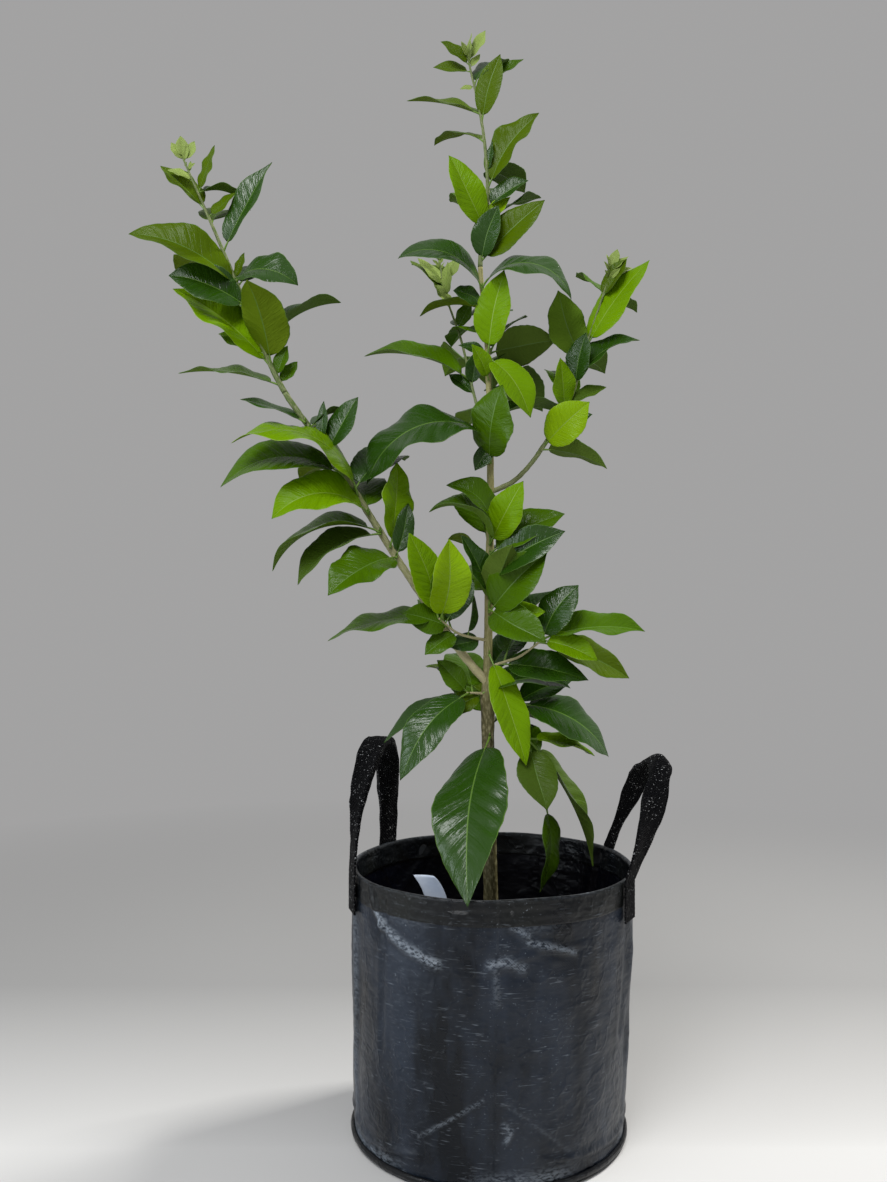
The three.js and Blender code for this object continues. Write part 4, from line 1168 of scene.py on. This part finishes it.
def grow_leaves():
    """Every leaf in its place: the charted ones first, then the far ones, then small fine ones"""
    draws = {name: seeded(seed) for name, (_, seed, _, _) in MASSES.items()}
    nature = seeded(7919)
    taken = [tube_tree(*stem.along(20)[:3]) for stem, *_ in LIMBS.values()]
    grown = {name: [] for name in MASSES}

    def try_row(name, row, fold, must):
        root, axis = MASSES[name][0].root(row[0])
        leaf = Leaf(root, axis, row, fold, nature)
        if settle(leaf, taken, must):
            grown[name].append(leaf)

    for name, (_, _, _, rows) in MASSES.items():
        for row in rows:
            try_row(name, row, draws[name](*LEAF["fold"]), True)
    for name, (_, _, far, _) in MASSES.items():
        for row in far_rows(far, draws[name]):
            try_row(name, row, draws[name](*LEAF["fold"]), False)
    for name in ("foliage_top", "foliage_left_top", "foliage_back_left", "foliage_right"):
        for index in range(TIPS["count"]):
            share = 1 - 0.012 * index
            clock, near, span, turn = (nature(*TIPS[key]) for key in ("clock", "near", "span", "turn"))
            try_row(name, (share, clock, near, span, 12, turn, "young", 0.42), 0.4, False)
    return grown


# Each limb: its stem, its material slot and the solids whose place it takes
LIMBS = {
    "trunk_bark": (Stem(LEADER, LEADER_RADIUS, 0, LEADER_CUT), "bark", "trunk"),
    "left_bough_bark": (
        Stem(LEFT, LEFT_RADIUS, 0, LEFT_CUTS[1]), "green_bark", "left_bough_lower", "left_bough_upper",
    ),
    "right_bough_bark": (Stem(RIGHT, RIGHT_RADIUS, 0, RIGHT_CUT), "green_bark", "right_bough"),
}


def bark_relief(at, ahead, radius, sides, depth):
    """Ridges, lumps and leaf scars on young wood"""
    out = ways_out(ahead, sides)[0]
    long = at[:, None] * np.array([1, 1, 0.22]) + out * radius[:, None, None]
    lumps = rough(long, 4.2) + 0.6 * rough(long + 40, 1.9)
    return depth * lumps.reshape(len(at), sides)


def limb(name, looks):
    stem, slot, *nodes = LIMBS[name]
    at, ahead, radius, _ = stem.along(WOOD["fine_step"])
    if name == "trunk_bark":
        ahead[0] = UP
        off = (at[:, 2] - GRAFT["height"]) / GRAFT["half"]
        radius = radius + GRAFT["swell"] * np.exp(-off ** 2)
    batch = Batch()
    relief = bark_relief(at, ahead, radius, WOOD["sides"], 0.09 * radius[:, None] + 0.1)
    tube(batch, at, ahead, radius * 0.97, WOOD["sides"], 0, relief)
    dress(batch.make(name, [looks[slot]]), slot, *nodes)


def grow_twigs(look):
    """The thin stems of their own inside the foliage"""
    batch = Batch()
    for stem, *_ in MASSES.values():
        if stem.side is None:
            at, ahead, radius, _ = stem.along(WOOD["fine_step"])
            relief = bark_relief(at, ahead, radius, WOOD["twig_sides"], 0.12 * radius[:, None])
            tube(batch, at, ahead, radius, WOOD["twig_sides"], 0, relief)
    dress(batch.make("twigs", [look]), "green_bark", *MASSES)


LEAF_PIECES = {
    "leaves_top": ("foliage_top", "foliage_middle_front", "foliage_middle_back", "foliage_back_left"),
    "leaves_right": ("foliage_right", "foliage_centre_front", "foliage_centre_back"),
    "leaves_left": ("foliage_left_top", "foliage_left_middle", "foliage_left_inner"),
    "leaves_low": (
        "foliage_low_left", "foliage_low_front", "foliage_low_right", "foliage_low_right_twig",
        "foliage_low_back",
    ),
}


def grow_tree():
    wood = {slot: wood_look(*tones) for slot, tones in WOOD_TONES.items()}
    for name in LIMBS:
        limb(name, wood)
    grow_twigs(wood["green_bark"])
    looks, marks = leaf_looks()
    grown = grow_leaves()
    for piece, names in LEAF_PIECES.items():
        batch = Batch()
        for leaf in (leaf for name in names for leaf in grown[name]):
            blade_skin(batch, leaf, marks)
            stalk(batch, leaf, marks)
        dress(batch.make(piece, looks), "foliage", *names)


# Stage: floor, light and camera

FLOOR = {
    "half": 6.0, "pale_to": -0.05, "grey_from": 0.42, "fade": (0.75, 1.9),
    "pale": (0.6, 0.595, 0.59), "grey": (0.3, 0.298, 0.298),
}
CAMERA = {"at": (-52.6, -1188, 572), "focal_px": 1107, "long_px": 1182, "sensor": 36}
WALL_GREY = (0.365, 0.362, 0.362)


def floor_plane():
    """A pale floor that turns grey towards the back and fades into the grey all round"""
    batch = Batch()
    half = FLOOR["half"] / MM
    batch.add([(-half, -half, 0), (half, -half, 0), (half, half, 0), (-half, half, 0)], [[0, 1, 2, 3]])
    look = Look("pale_floor", Roughness=0.7, Specular_IOR_Level=0.2)
    behind = look.spread(look.parts(look.places())[1], FLOOR["pale_to"], FLOOR["grey_from"])
    behind = look.math("POWER", behind, 0.7)
    look.finish(Base_Color=look.mix(behind, solid(FLOOR["pale"]), solid(FLOOR["grey"])))
    far = look.add("VectorMath", {0: look.places()}, output=1, operation="LENGTH")
    plain = look.add("Emission", {"Color": solid(WALL_GREY), "Strength": 1.0})
    faded = look.spread(far, *FLOOR["fade"])
    joined = look.add("MixShader", {0: faded, 1: look.shader.outputs[0], 2: plain})
    output = look.tree.nodes["Material Output"]
    look.tree.links.new(joined, output.inputs["Surface"])
    batch.make("pale_floor", [look.material])


def soft_light(name, at, size, power, tint, glossy=True):
    lamp = bpy.data.lights.new(name, "AREA")
    lamp.size, lamp.energy, lamp.color = size, power, tint
    made = bpy.data.objects.new(name, lamp)
    made.location = at
    aim = np.array([-0.05, 0.0, 0.6]) - np.array(at)
    made.rotation_euler = [
        math.atan2(math.hypot(aim[0], aim[1]), -aim[2]), 0.0, math.atan2(aim[1], aim[0]) - math.pi / 2,
    ]
    made.visible_glossy = glossy
    bpy.context.scene.collection.objects.link(made)


def stage():
    floor_plane()
    world = bpy.data.worlds.new("soft_grey")
    world.use_nodes = True
    world.node_tree.nodes["Background"].inputs["Color"].default_value = solid(WALL_GREY)
    world.node_tree.nodes["Background"].inputs["Strength"].default_value = 1.0
    bpy.context.scene.world = world
    soft_light("key", (-0.7, -1.6, 2.3), 1.1, 42, (0.98, 0.99, 1.0))
    soft_light("side", (-2.3, -1.2, 0.9), 1.2, 20, (0.86, 0.94, 1.0))
    soft_light("back", (1.4, 0.8, 2.1), 0.5, 64, (1.0, 0.99, 0.95), False)


def camera():
    lens = bpy.data.cameras.new("camera")
    lens.sensor_width = CAMERA["sensor"]
    lens.lens = CAMERA["sensor"] * CAMERA["focal_px"] / CAMERA["long_px"]
    lens.clip_start, lens.clip_end = 0.05, 50
    made = bpy.data.objects.new("camera", lens)
    made.location = [value * MM for value in CAMERA["at"]]
    made.rotation_euler = (math.pi / 2, 0, 0)
    bpy.context.scene.collection.objects.link(made)
    bpy.context.scene.camera = made


bpy.context.scene.view_settings.view_transform = "Standard"
camera()
stage()
grow_bag()
rim_hem()
base_welt()
STRAP_LOOK = webbing_look("webbing")
for handle_name, handle_size in HANDLES.items():
    strap(handle_name, handle_size, STRAP_LOOK)
soil_fill()
bark_chips()
plant_tag()
grow_tree()
